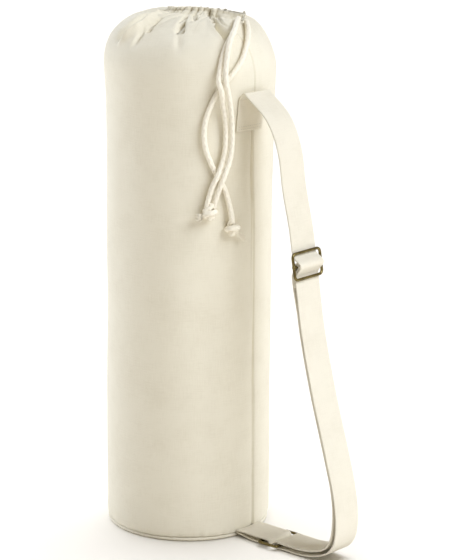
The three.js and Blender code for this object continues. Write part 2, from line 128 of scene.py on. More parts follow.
class FittingSettings(bpy.types.PropertyGroup):
    """Sizes and colour of the brass slider and ring."""

    slider_length: length_setting("Slider length", "Length of the slider along the strap", 0.035)
    slider_wire: length_setting("Slider wire", "Thickness of the slider's wire", 0.0036)
    slider_room: length_setting(
        "Slider room", "Room between the slider's ends and the webbing", 0.0018)
    slider_corner: length_setting("Slider corner", "Outer radius of the slider's corners", 0.007)
    ring_length: length_setting("Ring length", "Length of the ring along the strap", 0.031)
    ring_wire: length_setting("Ring wire", "Thickness of the ring's wire", 0.0034)
    ring_corner: length_setting("Ring corner", "Outer radius of the ring's corners", 0.0045)
    ring_room: length_setting("Ring room", "Room between the ring's ends and the webbing", 0.003)
    ring_distance: length_setting("Ring distance", "Distance of the ring from the body", 0.037)
    thread_gap: length_setting("Thread gap", "Room between webbing and wire", 0.0006)
    colour: colour_setting("Brass colour", "Aged brass", (0.2, 0.16, 0.065))


class CordSettings(bpy.types.PropertyGroup):
    """Sizes and colour of the drawcord."""

    diameter: length_setting("Diameter", "Thickness of the drawcord", 0.0066)
    braid_depth: length_setting("Braid depth", "Relief of the braid", 0.00028)
    colour: colour_setting("Cord colour", "Bleached cotton cord", (0.91, 0.85, 0.71))


class StitchSettings(bpy.types.PropertyGroup):
    """Sizes of the sewing thread."""

    pitch: length_setting("Pitch", "Distance from stitch to stitch", 0.0032)
    length: length_setting("Length", "Length of one stitch", 0.0024)
    radius: length_setting("Radius", "Half the thread's thickness", 0.00032)
    colour: colour_setting("Thread colour", "Sewing thread", (0.78, 0.74, 0.64))


class StageSettings(bpy.types.PropertyGroup):
    """Camera place and light strengths."""

    azimuth: angle_setting("Azimuth", "Camera's bearing round the bag", 42)
    distance: length_setting("Distance", "Camera's distance over the ground", 3.12)
    height: length_setting("Height", "Camera's height", 1.134)
    pitch: angle_setting("Pitch", "Camera's downward tilt", 14.83)
    yaw: angle_setting("Yaw", "Camera's turn to the right of the axis", 0.93)
    roll: angle_setting("Roll", "Camera's roll", 0.57)
    lens: number_setting("Lens", "Focal length on a 36 mm sensor", 167.14)
    sky: number_setting("Sky", "Strength of the even light", 0.27)
    floor_light: number_setting("Floor light", "Strength of the light on the floor", 1.06)
    key: number_setting("Key", "Strength of the light from the right", 0.84)
    rim: number_setting("Rim", "Strength of the light from the far left", 0.72)


GROUPS = {
    "matbag_cloth": ClothSettings,
    "matbag_strap": StrapSettings,
    "matbag_fittings": FittingSettings,
    "matbag_cord": CordSettings,
    "matbag_stitch": StitchSettings,
    "matbag_stage": StageSettings,
}


def settings(name):
    return getattr(bpy.context.scene, "matbag_" + name)


def table(columns, *rows):
    """A table's rows, each a dictionary by the names of the columns."""
    return [dict(zip(columns.split(), row)) for row in rows]


# Shared geometry

SPLINE_STEPS = 24


def smooth(share):
    t = np.clip(share, 0, 1)
    return t * t * (3 - 2 * t)


def unit(vectors):
    length = np.linalg.norm(vectors, axis=-1, keepdims=True)
    return vectors / np.maximum(length, 1e-12)


def through(values, row):
    """A smooth curve through a table's values at whole rows, which never overshoots them."""
    values = np.asarray(values, float)
    steps = np.diff(values)
    before, after = steps[:-1], steps[1:]
    slope = np.zeros_like(values)
    same = before * after > 0
    slope[1:-1][same] = (2 * before * after)[same] / (before + after)[same]
    slope[0], slope[-1] = steps[0], steps[-1]
    base = np.clip(np.floor(row).astype(int), 0, len(values) - 2)
    t = row - base
    start, end = values[base], values[base + 1]
    return ((2 * t ** 3 - 3 * t ** 2 + 1) * start + (t ** 3 - 2 * t ** 2 + t) * slope[base]
            + (3 * t ** 2 - 2 * t ** 3) * end + (t ** 3 - t ** 2) * slope[base + 1])


def circle(radius, steps, height=0.0):
    """Points round an upright axis."""
    around = np.linspace(0, 2 * math.pi, steps, endpoint=False)
    return np.stack([radius * np.cos(around), radius * np.sin(around), np.full(steps, height)], 1)


def distances(points):
    """Distance of each point from the first, along the line of points."""
    return np.r_[0, np.cumsum(np.linalg.norm(np.diff(points, axis=0), axis=1))]


def even(points, count):
    """Points evenly spaced along a line of points."""
    points = np.asarray(points, float)
    travelled = distances(points)
    wanted = np.linspace(0, travelled[-1], count)
    return np.stack([np.interp(wanted, travelled, values) for values in points.T], 1)


def length_of(points):
    return float(np.linalg.norm(np.diff(points, axis=0), axis=1).sum())


def spline(points, count, power=0.0):
    """An evenly spaced curve through points. power 0 is uniform and 0.5 centripetal."""
    points = np.asarray(points, float)
    ends = (2 * points[0] - points[1], 2 * points[-1] - points[-2])
    padded = np.vstack([ends[0], points, ends[1]])
    fine = []
    for i in range(1, len(padded) - 2):
        a, b, c, d = padded[i - 1:i + 3]
        gaps = [max(np.linalg.norm(q - p), 1e-9) ** (2 * power)
                for p, q in ((a, b), (b, c), (c, d))]
        t1 = ((b - a) / gaps[0] - (c - a) / (gaps[0] + gaps[1]) + (c - b) / gaps[1]) * gaps[1]
        t2 = ((c - b) / gaps[1] - (d - b) / (gaps[1] + gaps[2]) + (d - c) / gaps[2]) * gaps[1]
        t = np.linspace(0, 1, SPLINE_STEPS, endpoint=False)[:, None]
        fine.append(b + t1 * t + (3 * (c - b) - 2 * t1 - t2) * t ** 2
                    + (2 * (b - c) + t1 + t2) * t ** 3)
    fine.append(points[-1:])
    return even(np.vstack(fine), count)


def make_piece(name, corners, faces, material, uv=None):
    """A smooth mesh object in place, with an optional UV for each corner."""
    mesh = bpy.data.meshes.new(name)
    mesh.from_pydata([tuple(c) for c in np.asarray(corners)], [],
                     [tuple(map(int, face)) for face in faces])
    mesh.shade_smooth()
    if uv is not None:
        layer = mesh.uv_layers.new(name="cloth")
        loops = np.zeros(len(mesh.loops), np.int32)
        mesh.loops.foreach_get("vertex_index", loops)
        layer.data.foreach_set("uv", np.asarray(uv, np.float32)[loops].ravel())
    mesh.materials.append(material)
    piece = bpy.data.objects.new(name, mesh)
    bpy.context.scene.collection.objects.link(piece)
    return piece


def grid_faces(rows, columns, close_rows=False, close_columns=True, start=0):
    """Quads over a grid of corners, wound so that columns by rows gives the outward side."""
    faces = []
    for i in range(rows if close_rows else rows - 1):
        below = start + i * columns
        above = start + ((i + 1) % rows) * columns
        for j in range(columns if close_columns else columns - 1):
            k = (j + 1) % columns
            faces.append((below + j, below + k, above + k, above + j))
    return faces


def cap_faces(low, high, top, sides):
    """Fans that close a grid: corner low with the first row, and high with the row at top."""
    faces = []
    for j in range(sides):
        k = (j + 1) % sides
        faces += [(low, k, j), (high, top + j, top + k)]
    return faces


def face_out(piece):
    """Turns every closed part's faces outwards."""
    work = bmesh.new()
    work.from_mesh(piece.data)
    bmesh.ops.recalc_face_normals(work, faces=work.faces)
    work.to_mesh(piece.data)
    work.free()
    return piece


def finish_piece(piece, slot, *nodes):
    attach(piece, BODY)
    if nodes:
        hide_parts(*nodes)
    return piece


def make_solid(name, part, material, slot, node):
    """A closed piece from (corners, faces, uv), with the slot and the node it stands for."""
    corners, faces, uv = part
    piece = make_piece(name, corners, faces, finish(material), uv)
    return finish_piece(face_out(piece), slot, node)


def frames_along(path, closed=False):
    """Tangent and two cross directions at each point of a path, without twist."""
    path = np.asarray(path, float)
    if closed:
        tangent = unit(np.roll(path, -1, 0) - np.roll(path, 1, 0))
    else:
        tangent = unit(np.gradient(path, axis=0))
    helper = np.eye(3)[np.argmin(np.abs(tangent[0]))]
    side = np.zeros_like(path)
    side[0] = unit(np.cross(tangent[0], helper))
    for i in range(1, len(path)):
        side[i] = unit(side[i - 1] - tangent[i] * (side[i - 1] @ tangent[i]))
    return tangent, side, np.cross(tangent, side)


def tube(path, radius, sides, closed=False, relief=None, round_ends=3):
    """Corners, faces and UV of a round tube. relief(around, along) adds to its radius."""
    path = np.asarray(path, float)
    radius = np.broadcast_to(np.asarray(radius, float), (len(path),)).copy()
    _, side, other = frames_along(path, closed)
    travelled = distances(path)
    around = np.linspace(0, 2 * math.pi, sides, endpoint=False)
    depth = np.zeros((len(path), sides)) if relief is None else relief(
        around[None, :], travelled[:, None])
    if not closed:
        for k in range(round_ends):
            share = math.sin(math.pi / 2 * (k + 0.5) / round_ends)
            radius[k] *= share
            radius[-1 - k] *= share
    reach = radius[:, None] + depth
    rings = path[:, None] + reach[..., None] * (
        np.cos(around)[None, :, None] * side[:, None]
        + np.sin(around)[None, :, None] * other[:, None])
    corners = rings.reshape(-1, 3)
    faces = grid_faces(len(path), sides, close_rows=closed)
    u = np.broadcast_to(around / (2 * math.pi) * 2 * math.pi * radius.max(), (len(path), sides))
    uv = np.stack([u, np.broadcast_to(travelled[:, None], u.shape)], -1).reshape(-1, 2)
    if not closed:
        corners = np.vstack([corners, path[:1], path[-1:]])
        uv = np.vstack([uv, [[0, travelled[0]], [0, travelled[-1]]]])
        faces += cap_faces(len(corners) - 2, len(corners) - 1, (len(path) - 1) * sides, sides)
    return corners, faces, uv


def joined(parts):
    """Several (corners, faces, uv) as one."""
    corners, faces, uv = [], [], []
    count = 0
    for part in parts:
        corners.append(part[0])
        uv.append(part[2])
        faces += [tuple(index + count for index in face) for face in part[1]]
        count += len(part[0])
    return np.vstack(corners), faces, np.vstack(uv)


# Materials

def add_node(tree, kind, inputs=None, **values):
    """A new node, with each input linked to a socket or set to a value."""
    node = tree.nodes.new(kind)
    for key, value in values.items():
        setattr(node, key, value)
    for key, value in (inputs or {}).items():
        if isinstance(value, bpy.types.NodeSocket):
            tree.links.new(value, node.inputs[key])
        else:
            node.inputs[key].default_value = value
    return node


class Nodes:
    """A short way to write a material's node tree."""

    def __init__(self, name):
        self.material = bpy.data.materials.new(name)
        self.material.use_nodes = True
        self.tree = self.material.node_tree
        self.shader = next(n for n in self.tree.nodes if n.type == "BSDF_PRINCIPLED")

    def add(self, kind, inputs=None, **values):
        return add_node(self.tree, kind, inputs, **values)

    def maths(self, operation, first, second=0.5):
        return self.add("ShaderNodeMath", {0: first, 1: second}, operation=operation).outputs[0]

    def ramp(self, factor, low, high, low_at=0.0, high_at=1.0):
        node = self.add("ShaderNodeValToRGB", {"Fac": factor})
        first, last = node.color_ramp.elements
        first.position, first.color = low_at, (*low, 1)
        last.position, last.color = high_at, (*high, 1)
        return node.outputs["Color"]

    def mapped(self, vector, scale):
        return self.add("ShaderNodeMapping", {"Vector": vector, "Scale": scale}).outputs["Vector"]

    def noise(self, vector, scale, detail=3.0, roughness=0.55):
        node = self.add("ShaderNodeTexNoise", {
            "Vector": vector, "Scale": scale, "Detail": detail, "Roughness": roughness})
        return node.outputs["Fac"]

    def bump(self, height, distance, strength=1.0, normal=None):
        inputs = {"Height": height, "Distance": distance, "Strength": strength}
        if normal is not None:
            inputs["Normal"] = normal
        return self.add("ShaderNodeBump", inputs).outputs["Normal"]

    def link(self, socket, value):
        self.tree.links.new(value, self.shader.inputs[socket])


# The Wave texture's scale that gives one band to each metre
ONE_BAND = 0.314


def tinted(colour, factor):
    return tuple(min(1.0, c * f) for c, f in zip(colour, factor))


def threads(nodes, uv, pitch_u, pitch_v):
    """Height of a plain weave: warp and weft threads that pass over each other."""
    warp, weft = (nodes.add("ShaderNodeTexWave", {
        "Vector": uv, "Scale": ONE_BAND / pitch, "Distortion": 0.6, "Detail": 1.0,
        "Detail Scale": 2.0}, wave_type="BANDS", bands_direction=direction).outputs["Fac"]
        for pitch, direction in ((pitch_u, "X"), (pitch_v, "Y")))
    return nodes.maths("ADD", warp, weft)


# Cottons: whose colour they have, the pitches of the weave, its depth, the depth of the uneven
# threads and the roughness
COTTONS = {
    "unbleached_cotton": ("cloth", 0.0007, 0.0007, 0.00007, 0.00014, 0.92),
    "webbing_weave": ("strap", 0.0016, 0.0011, 0.0003, 0.0001, 0.88),
    "braided_cotton": ("cord", 0.0009, 0.0009, 0.00006, 0.0001, 0.85),
}


def cotton(name):
    """Woven cotton: a weave, uneven threads, faint mottling and a soft sheen."""
    group, pitch_u, pitch_v, weave_depth, slub, roughness = COTTONS[name]
    colour = settings(group).colour
    nodes = Nodes(name)
    uv = nodes.add("ShaderNodeUVMap", uv_map="cloth").outputs["UV"]
    place = nodes.add("ShaderNodeTexCoord").outputs["Object"]
    along = nodes.noise(nodes.mapped(uv, (900, 60, 1)), 1.0, 2.0)
    across = nodes.noise(nodes.mapped(uv, (60, 900, 1)), 1.0, 2.0)
    uneven = nodes.maths("ADD", along, across)
    mottle = nodes.noise(place, 26, 4.0, 0.6)
    shade = nodes.maths("ADD", nodes.maths("MULTIPLY", uneven, 0.4),
                        nodes.maths("MULTIPLY", mottle, 0.6))
    base = nodes.ramp(shade, tinted(colour, (0.93, 0.92, 0.9)),
                      tinted(colour, (1.04, 1.045, 1.06)), 0.3, 0.75)
    nodes.link("Base Color", base)
    weave = nodes.bump(threads(nodes, uv, pitch_u, pitch_v), weave_depth)
    slubs = nodes.bump(uneven, slub, 1.0, weave)
    nodes.link("Normal", slubs)
    nodes.shader.inputs["Roughness"].default_value = roughness
    nodes.shader.inputs["Specular IOR Level"].default_value = 0.25
    nodes.shader.inputs["Sheen Weight"].default_value = 0.12
    nodes.shader.inputs["Sheen Roughness"].default_value = 0.55
    return nodes.material


def thread_cotton(name):
    nodes = Nodes(name)
    place = nodes.add("ShaderNodeTexCoord").outputs["Object"]
    shade = nodes.noise(place, 900, 2.0)
    colour = settings("stitch").colour
    nodes.link("Base Color", nodes.ramp(shade, tinted(colour, (0.9, 0.9, 0.88)), tuple(colour)))
    nodes.link("Normal", nodes.bump(shade, 0.0001))
    nodes.shader.inputs["Roughness"].default_value = 0.75
    return nodes.material


def aged_brass(name):
    """Brass with a dark patina, worn in patches, with fine scratches."""
    nodes = Nodes(name)
    place = nodes.add("ShaderNodeTexCoord").outputs["Object"]
    patina = nodes.noise(place, 160, 5.0, 0.65)
    colour = settings("fittings").colour
    nodes.link("Base Color", nodes.ramp(patina, tinted(colour, (0.55, 0.5, 0.45)),
                                        tinted(colour, (1.5, 1.5, 1.45)), 0.32, 0.72))
    scratches = nodes.noise(nodes.mapped(place, (400, 2600, 900)), 1.0, 3.0)
    rough = nodes.add("ShaderNodeMapRange", {
        "Value": patina, "To Min": 0.48, "To Max": 0.26}).outputs["Result"]
    nodes.link("Roughness", rough)
    nodes.link("Normal", nodes.bump(scratches, 0.00006))
    nodes.shader.inputs["Metallic"].default_value = 1.0
    return nodes.material


def finish(name):
    """The material of that name, made at its first use."""
    make = {"sewing_thread": thread_cotton, "worn_brass": aged_brass}.get(name, cotton)
    return bpy.data.materials.get(name) or make(name)


# Camera, floor and light

def place_camera():
    stage = settings("stage")
    turn = Matrix.Rotation(stage.azimuth, 3, "Z")
    eye = turn @ Vector((0, -stage.distance, stage.height))
    cp, sp = math.cos(stage.pitch), math.sin(stage.pitch)
    cy, sy = math.cos(stage.yaw), math.sin(stage.yaw)
    ahead = Vector((sy * cp, cy * cp, -sp))
    right = Vector((cy, -sy, 0))
    above = right.cross(ahead)
    cr, sr = math.cos(stage.roll), math.sin(stage.roll)
    right, above = cr * right + sr * above, cr * above - sr * right
    rotation = Matrix((turn @ right, turn @ above, -(turn @ ahead))).transposed()
    data = bpy.data.cameras.new("camera")
    data.lens = stage.lens
    data.sensor_width = 36
    data.sensor_fit = "AUTO"
    data.clip_end = 50
    camera = bpy.data.objects.new("camera", data)
    camera.matrix_world = Matrix.Translation(eye) @ rotation.to_4x4()
    bpy.context.scene.collection.objects.link(camera)
    bpy.context.scene.camera = camera


SKY_COLOUR = (1, 0.88, 0.7, 1)
# turn: degrees round from the camera; height and spread in degrees; on_floor: it lights the floor
# alone, else all but the floor
SUNS = table("name turn height spread colour on_floor",
    ("floor_light", 180, 72, 80, (1, 1, 1), True),
    ("key", 58, 44, 38, (0.94, 1.0, 1.1), False),
    ("rim", -118, 15, 50, (0.9, 1.0, 1.18), False))
FLOOR_RADIUS = 9
FLOOR_SIDES = 96


def soft_sun(name, bearing, height, power, spread, colour, floor, on_floor):
    """An even light from a bearing and a height, for the floor alone or for all but the floor."""
    data = bpy.data.lights.new(name, "SUN")
    data.angle = spread
    data.energy = power * math.pi
    data.color = colour
    lamp = bpy.data.objects.new(name, data)
    away = Vector((math.sin(bearing) * math.cos(height), -math.cos(bearing) * math.cos(height),
                   math.sin(height)))
    lamp.location = 3 * away
    lamp.rotation_euler = away.to_track_quat("Z", "Y").to_euler()
    bpy.context.scene.collection.objects.link(lamp)
    lit = bpy.data.collections.new(name + "_reach")
    lit.objects.link(floor)
    lit.collection_objects[0].light_linking.link_state = "INCLUDE" if on_floor else "EXCLUDE"
    lamp.light_linking.receiver_collection = lit


def light_stage(floor):
    """The even warm light and the three suns, each of the strength in the stage's settings."""
    stage = settings("stage")
    world = bpy.data.worlds.new("studio")
    world.use_nodes = True
    background = world.node_tree.nodes["Background"]
    background.inputs["Color"].default_value = SKY_COLOUR
    background.inputs["Strength"].default_value = stage.sky
    bpy.context.scene.world = world
    for sun in SUNS:
        soft_sun(sun["name"], stage.azimuth + math.radians(sun["turn"]),
                 math.radians(sun["height"]), getattr(stage, sun["name"]),
                 math.radians(sun["spread"]), sun["colour"], floor, sun["on_floor"])


def make_floor():
    nodes = Nodes("pale_floor")
    place = nodes.add("ShaderNodeTexCoord").outputs["Object"]
    grain = nodes.noise(place, 4, 2.0)
    nodes.link("Base Color", nodes.ramp(grain, (0.94, 0.94, 0.94), (0.95, 0.95, 0.95)))
    nodes.shader.inputs["Roughness"].default_value = 0.9
    nodes.shader.inputs["Specular IOR Level"].default_value = 0.1
    rim = circle(FLOOR_RADIUS, FLOOR_SIDES)
    floor = make_piece("floor", rim, [tuple(range(FLOOR_SIDES))], nodes.material)
    return floor


# Drawcord

# Routes of the drawcord's free strands, from the hem at the side seam to their knots, in
# millimetres
FRONT_ROUTE = [
    (66, 12.5, 641), (80.5, -8, 639), (89.5, -21.5, 634.5), (95, -33.5, 627.5), (98, -41, 619),
    (100, -46, 609), (101.5, -50, 598), (103.5, -53, 586.5), (105, -53.5, 575),
    (105.5, -50.5, 564), (105, -46.5, 550), (104.5, -43.5, 536.5), (104, -41.5, 521.5),
    (104, -41, 507), (104.5, -42.5, 494), (105, -46.5, 481.5), (104.5, -52.5, 468.5),
    (103, -55.5, 460), (100, -57, 451), (96.5, -58.5, 440), (93.5, -59.5, 430.5),
    (92.5, -60, 423.5),
]
BACK_ROUTE = [
    (82.5, -13, 629.5), (88, -27.5, 624), (91.5, -39, 616), (93, -46.5, 606), (94.5, -51.5, 596),
    (96, -56, 586), (98, -59, 577), (101, -58.5, 568.5), (100.5, -55.5, 560), (98.5, -52, 550),
    (98, -48.5, 537.5), (98, -46, 522.5), (98, -45.5, 508), (98, -46.5, 495), (97.5, -49.5, 482),
    (98, -55.5, 471), (97.5, -60.5, 462), (93, -63, 451), (90, -64, 441), (88, -66, 430.5),
    (87.5, -67, 424),
]
CROSSING_ROUTE = [
    (72, 19.5, 638), (85.5, 7, 631.5), (95.5, -4.5, 622.5), (101, -15, 611.5), (103.5, -24, 600.5),
    (103, -32.5, 591), (101, -41, 582), (97, -48.5, 573), (92.5, -55.5, 562.5), (88.5, -60.5, 550),
    (85, -65, 535.5), (83.5, -67.5, 521.5), (83.5, -67.5, 507), (84.5, -65, 493.5),
    (87, -60.5, 480), (90, -56, 468.5), (93.5, -50.5, 457), (96.5, -46, 447), (98.5, -42, 434.5),
    (101, -40, 422), (103, -39, 411), (103, -38, 402.5),
]
CORD_SIDES = 36
CORD_STEP = 0.55 * MM
# How much thinner the cord's core is than the cord, because the braid stands over it
CORE_INSET = 0.15 * MM
BRAID_STRANDS = 4
BRAID_PITCH = 9 * MM

# An overhand knot round its own axis, in cord diameters: out to one side, out to the other,
# along. The strand's end lies at KNOT_START along it.
KNOT_START = 0.45
KNOT_LINE = [
    (0.0, 0.0, -0.5), (0.05, 0.0, 0.0), (0.35, 0.25, 0.5), (0.2, 0.68, 0.95), (-0.5, 0.58, 1.15),
    (-0.78, -0.12, 1.05), (-0.4, -0.72, 0.85), (0.35, -0.75, 0.8), (0.82, -0.2, 1.0),
    (0.6, 0.5, 1.4), (0.0, 0.62, 1.75), (-0.45, 0.2, 1.7), (-0.2, -0.2, 1.35), (0.15, -0.15, 1.75),
    (0.15, -0.05, 2.2),
]


def braid(around, along):
    """Relief of two sets of strands that wind across each other."""
    depth = settings("cord").braid_depth
    turns = along / BRAID_PITCH * 2 * math.pi
    one = np.cos(BRAID_STRANDS * around + turns)
    other = np.cos(BRAID_STRANDS * around - turns)
    return depth * (np.maximum(one, other) - 0.5)


def cord_path(route):
    path = spline(np.array(route) * MM, 400, power=0.5)
    return even(path, max(8, int(length_of(path) / CORD_STEP)))


def knot_axes(routes):
    """Place, direction and two cross directions of the knot at the end of the routes."""
    ends = np.array([route[-1] for route in routes], float) * MM
    before = np.array([route[-2] for route in routes], float) * MM
    along = unit(unit(ends - before).sum(0))
    outward = ends.mean(0) * (1, 1, 0)
    out = unit(outward - along * (outward @ along))
    return ends.mean(0), along, out, np.cross(along, out)


def knot_body(head, axes, lean, size):
    """One strand's turns in a knot, pulled tight."""
    diameter = settings("cord").diameter
    along, out, aside = axes
    line = [head + diameter * size * (math.cos(lean) * x - math.sin(lean) * y) * out
            + diameter * size * (math.sin(lean) * x + math.cos(lean) * y) * aside
            + diameter * size * (z - KNOT_START) * along for x, y, z in KNOT_LINE]
    path = spline(np.array(line), 300, power=0.5)
    return tube(path, diameter * 0.5, CORD_SIDES, relief=braid)


# Radius over which a tail's threads leave the knot, their unruliness, and a thread's radius at
# its root and its tip
TAIL_ROOT = 2.1 * MM
TAIL_CURL = 0.9 * MM
TAIL_RADII = (0.42 * MM, 0.26 * MM)


def frayed_tail(start, towards, spread, length, count, seed):
    """Loose threads that fan out of a cut end."""
    random = np.random.default_rng(seed)
    towards = unit(np.asarray(towards, float))
    side = unit(np.cross(towards, (0, 0, 1.0)))
    other = np.cross(side, towards)
    parts = []
    for _ in range(count):
        angle = random.uniform(0, 2 * math.pi)
        reach = math.sqrt(random.uniform(0, 1))
        base = reach * TAIL_ROOT * (math.cos(angle) * side + math.sin(angle) * other)
        fan = reach * spread * (math.cos(angle) * side + math.sin(angle) * other)
        curl = random.normal(0, TAIL_CURL, 3)
        run = length * random.uniform(0.6, 1.0)
        line = [start + base - towards * 1.5 * MM, start + base + towards * run * 0.35 + fan * 0.3,
                start + base + towards * run * 0.7 + fan * 0.75 + curl * 0.5,
                start + base + towards * run + fan + curl]
        path = spline(np.array(line), 7)
        parts.append(tube(path, np.linspace(*TAIL_RADII, 7), 5, round_ends=1))
    return joined(parts)


def make_cord(name, part, node):
    return make_solid(name, part, "braided_cotton", "cotton_cord", node)


def make_cords():
    """The three free strands and the two knots, with what the cords are declared as."""
    core = settings("cord").diameter / 2 - CORE_INSET
    strands = []
    for node, route in (("drawcord_front", FRONT_ROUTE), ("drawcord_back", BACK_ROUTE),
                        ("drawcord_crossing", CROSSING_ROUTE)):
        path = cord_path(route)
        part = tube(path, core, CORD_SIDES, relief=braid)
        strands.append((make_cord(node + "_braid", part, node), path, route))
    head, along, out, aside = knot_axes([FRONT_ROUTE, BACK_ROUTE])
    first = knot_body(head + 1.0 * MM * out, (along, out, aside), 0.4, 1.15)
    second = knot_body(head - 0.6 * MM * out + 0.8 * MM * along, (along, out, aside), 3.3, 1.0)
    tails = frayed_tail(head + along * 9 * MM + 4 * MM * aside, along * 0.4 + 0.9 * aside,
                        3.4 * MM, 13.5 * MM, 90, 5)
    pair = make_cord("pair_knot_tied", joined([first, second, tails]), "pair_knot")
    head, along, out, aside = knot_axes([CROSSING_ROUTE])
    body = knot_body(head, (along, out, aside), 1.9, 1.22)
    tails = frayed_tail(head + along * 11 * MM - 3.5 * MM * aside, along * 0.65 - 0.75 * aside,
                        0.9 * MM, 19 * MM, 44, 8)
    single = make_cord("single_knot_tied", joined([body, tails]), "single_knot")
    for (strand, path, route), knot in zip(strands, (pair, pair, single)):
        settings("cord").diameter


# Body cloth

# rise: share of the cloth's height; round: share of the body's radius; draw: 0 round, 1 the long
# shape of the drawn mouth; ruffle: share of the ruffle depth
SECTIONS = table("rise round draw ruffle",
    (0.000, 0.985, 0.00, 0.00),
    (0.015, 1.000, 0.00, 0.00),
    (0.300, 0.994, 0.00, 0.00),
    (0.600, 0.998, 0.00, 0.00),
    (0.800, 1.004, 0.00, 0.00),
    (0.890, 1.020, 0.00, 0.00),
    (0.918, 0.998, 0.00, 0.00),
    (0.938, 0.948, 0.00, 0.00),
    (0.953, 0.880, 0.02, 0.02),
    (0.967, 0.780, 0.10, 0.05),
    (0.978, 0.680, 0.30, 0.14),
    (0.985, 0.600, 0.62, 0.42),
    (0.988, 0.560, 0.90, 0.95),
    (0.993, 0.550, 0.98, 1.00),
    (1.000, 0.540, 1.00, 0.90))
TOP_ROW = len(SECTIONS) - 1
# The row above which the rim's far side leans inwards
LEAN_ROW = 12.2

# Gathers of the cloth. line: (turn from the mouth's bearing in degrees, section row), from the
# mouth down; depth in millimetres, outwards where above zero; left and right: how far the form
# reaches to each side, seen from outside, in millimetres; narrow: share of that reach at the top;
# start and stop: shares of the line over which the form comes and goes; wall: how upright its
# sides are.
GATHERS = table("line depth left right narrow start stop wall",
    ([(-101, 11.3), (-91, 10.3), (-84, 9.5), (-81, 8.75)], -15.0, 6.5, 4.8, 0.25, 0.15, 0.26, 2.4),
    ([(-96, 11.7), (-85, 10.9), (-76, 10.2)], -8.0, 3.4, 3.2, 0.6, 0.2, 0.3, 2),
    ([(-134, 10.8), (-129, 10.2), (-124, 9.6), (-122, 8.9), (-125, 8.2), (-128, 7.4), (-134, 6.6)],
     9.0, 2.0, 4.5, 0.8, 0.12, 0.35, 2),
    ([(-150, 11.0), (-146, 10.1), (-138, 9.3), (-134, 8.5), (-135, 7.6), (-138, 6.8)],
     -16.0, 7.5, 5.0, 0.6, 0.15, 0.35, 2),
    ([(-122, 10.4), (-116, 9.4), (-112, 8.5)], -10.0, 3.0, 4.0, 0.6, 0.3, 0.2, 2),
    ([(-126, 9.6), (-118, 8.6), (-116, 7.4), (-117, 6.5)], -5.0, 3.0, 7.0, 0.6, 0.4, 0.5, 2),
    ([(-84, 9.4), (-80, 8.0), (-78, 6.4)], -2.8, 4.5, 8.0, 0.8, 0.5, 0.5, 2),
    ([(-74, 12.6), (-58, 11.4), (-42, 10.1), (-34, 9.5)], -3.5, 1.4, 1.2, 0.8, 0.08, 0.2, 2),
    ([(20, 12.0), (8, 10.6), (-2, 9.2), (-6, 7.8)], -3.0, 3.5, 5.0, 0.5, 0.2, 0.5, 2),
    ([(40, 12.0), (28, 10.2), (18, 8.4)], -2.6, 4.0, 3.0, 0.5, 0.2, 0.5, 2),
    ([(62, 12.0), (52, 10.4), (44, 8.8)], -4.0, 3.0, 5.0, 0.5, 0.2, 0.4, 2),
    ([(88, 11.8), (80, 10.2), (72, 8.4)], -6.5, 4.0, 6.0, 0.4, 0.3, 0.25, 2),
    ([(104, 11.6), (98, 10.0), (93, 8.0), (90, 6.4)], 2.6, 4.0, 3.0, 0.7, 0.3, 0.5, 2),
    ([(120, 11.6), (115, 9.8), (112, 7.6)], -5.0, 5.0, 3.5, 0.4, 0.25, 0.4, 2),
    ([(134, 11.2), (131, 9.6), (130, 8.4)], -3.0, 2.6, 2.6, 0.6, 0.2, 0.3, 2),
    ([(148, 11.6), (143, 9.8), (140, 7.8), (140, 6.6)], -4.6, 3.0, 6.0, 0.4, 0.3, 0.4, 2),
    ([(163, 11.4), (160, 9.8), (158, 8.0)], -3.4, 3.0, 3.0, 0.5, 0.2, 0.4, 2),
    ([(178, 11.4), (174, 9.6), (172, 7.4)], -5.0, 4.0, 4.0, 0.4, 0.3, 0.4, 2),
    ([(-166, 11.4), (-167, 9.6), (-166, 8.2)], -3.6, 3.0, 4.0, 0.5, 0.3, 0.4, 2))
# Broad swells and dents: turn and row of the middle, depth and reach in millimetres
SWELLS = table("turn row depth wide tall",
    (14, 6.8, -4.4, 34, 20),
    (-100, 6.9, -2.4, 26, 30),
    (-66, 6.2, -1.6, 18, 40),
    (-152, 6.2, 1.6, 22, 40),
    (98, 6.4, -2.2, 26, 34),
    (160, 6.0, -1.4, 24, 40),
    (-120, 3.4, -1.2, 20, 110),
    (-84, 2.6, 1.2, 22, 120),
    (-58, 2.0, -1.3, 16, 130),
    (60, 2.6, -1.6, 30, 120),
    (130, 2.0, 1.4, 30, 130))
# How far the drawn cloth stands above its plain form, in millimetres: a row of heights for each
# section row from LIFT_ROW up, at turns LIFT_TURNS
LIFT_ROW = 6
LIFT_TURNS = [-180, -140, -100, -60, -20, 20, 60, 100, 140]
LIFTS = [
    [0, 0, 0, 0, 0, 0, 0, 0, 0],
    [2, 1, 0, 0, 0, 0, 0, 1, 2],
    [4, 2, 0, 0, 0, 1, 2, 2, 4],
    [5.5, 3, 1, 0, 0, 3, 3, 3, 5],
    [5, 2.5, 2, 2.5, 1, 3, 2, 1, 4],
    [2.5, 1, 3, 4, 3, 4.5, 4, 0, 1],
    [0, 0, 3, 4, 3, 5, 4, 0, -1],
    [-3, -2, 1, 2, 2, 3, 1.5, -2, -4],
    [-5, -3, 0, 0.5, 1.5, 2, -1, -4, -5.5],
]
# The folded edge at the cord's way out: turn and row, from the ruffles down to behind the cords
EXIT_EDGE = [(-90, 12.4), (-80, 11.7), (-68, 10.95), (-56, 10.04), (-50, 9.24), (-46, 8.5),
             (-43, 7.8)]
# Height of that edge, and depth and width of the hollow beside it, in millimetres
EXIT_PROUD = 1.6
EXIT_DEEP = 15.0
EXIT_WIDE = 15
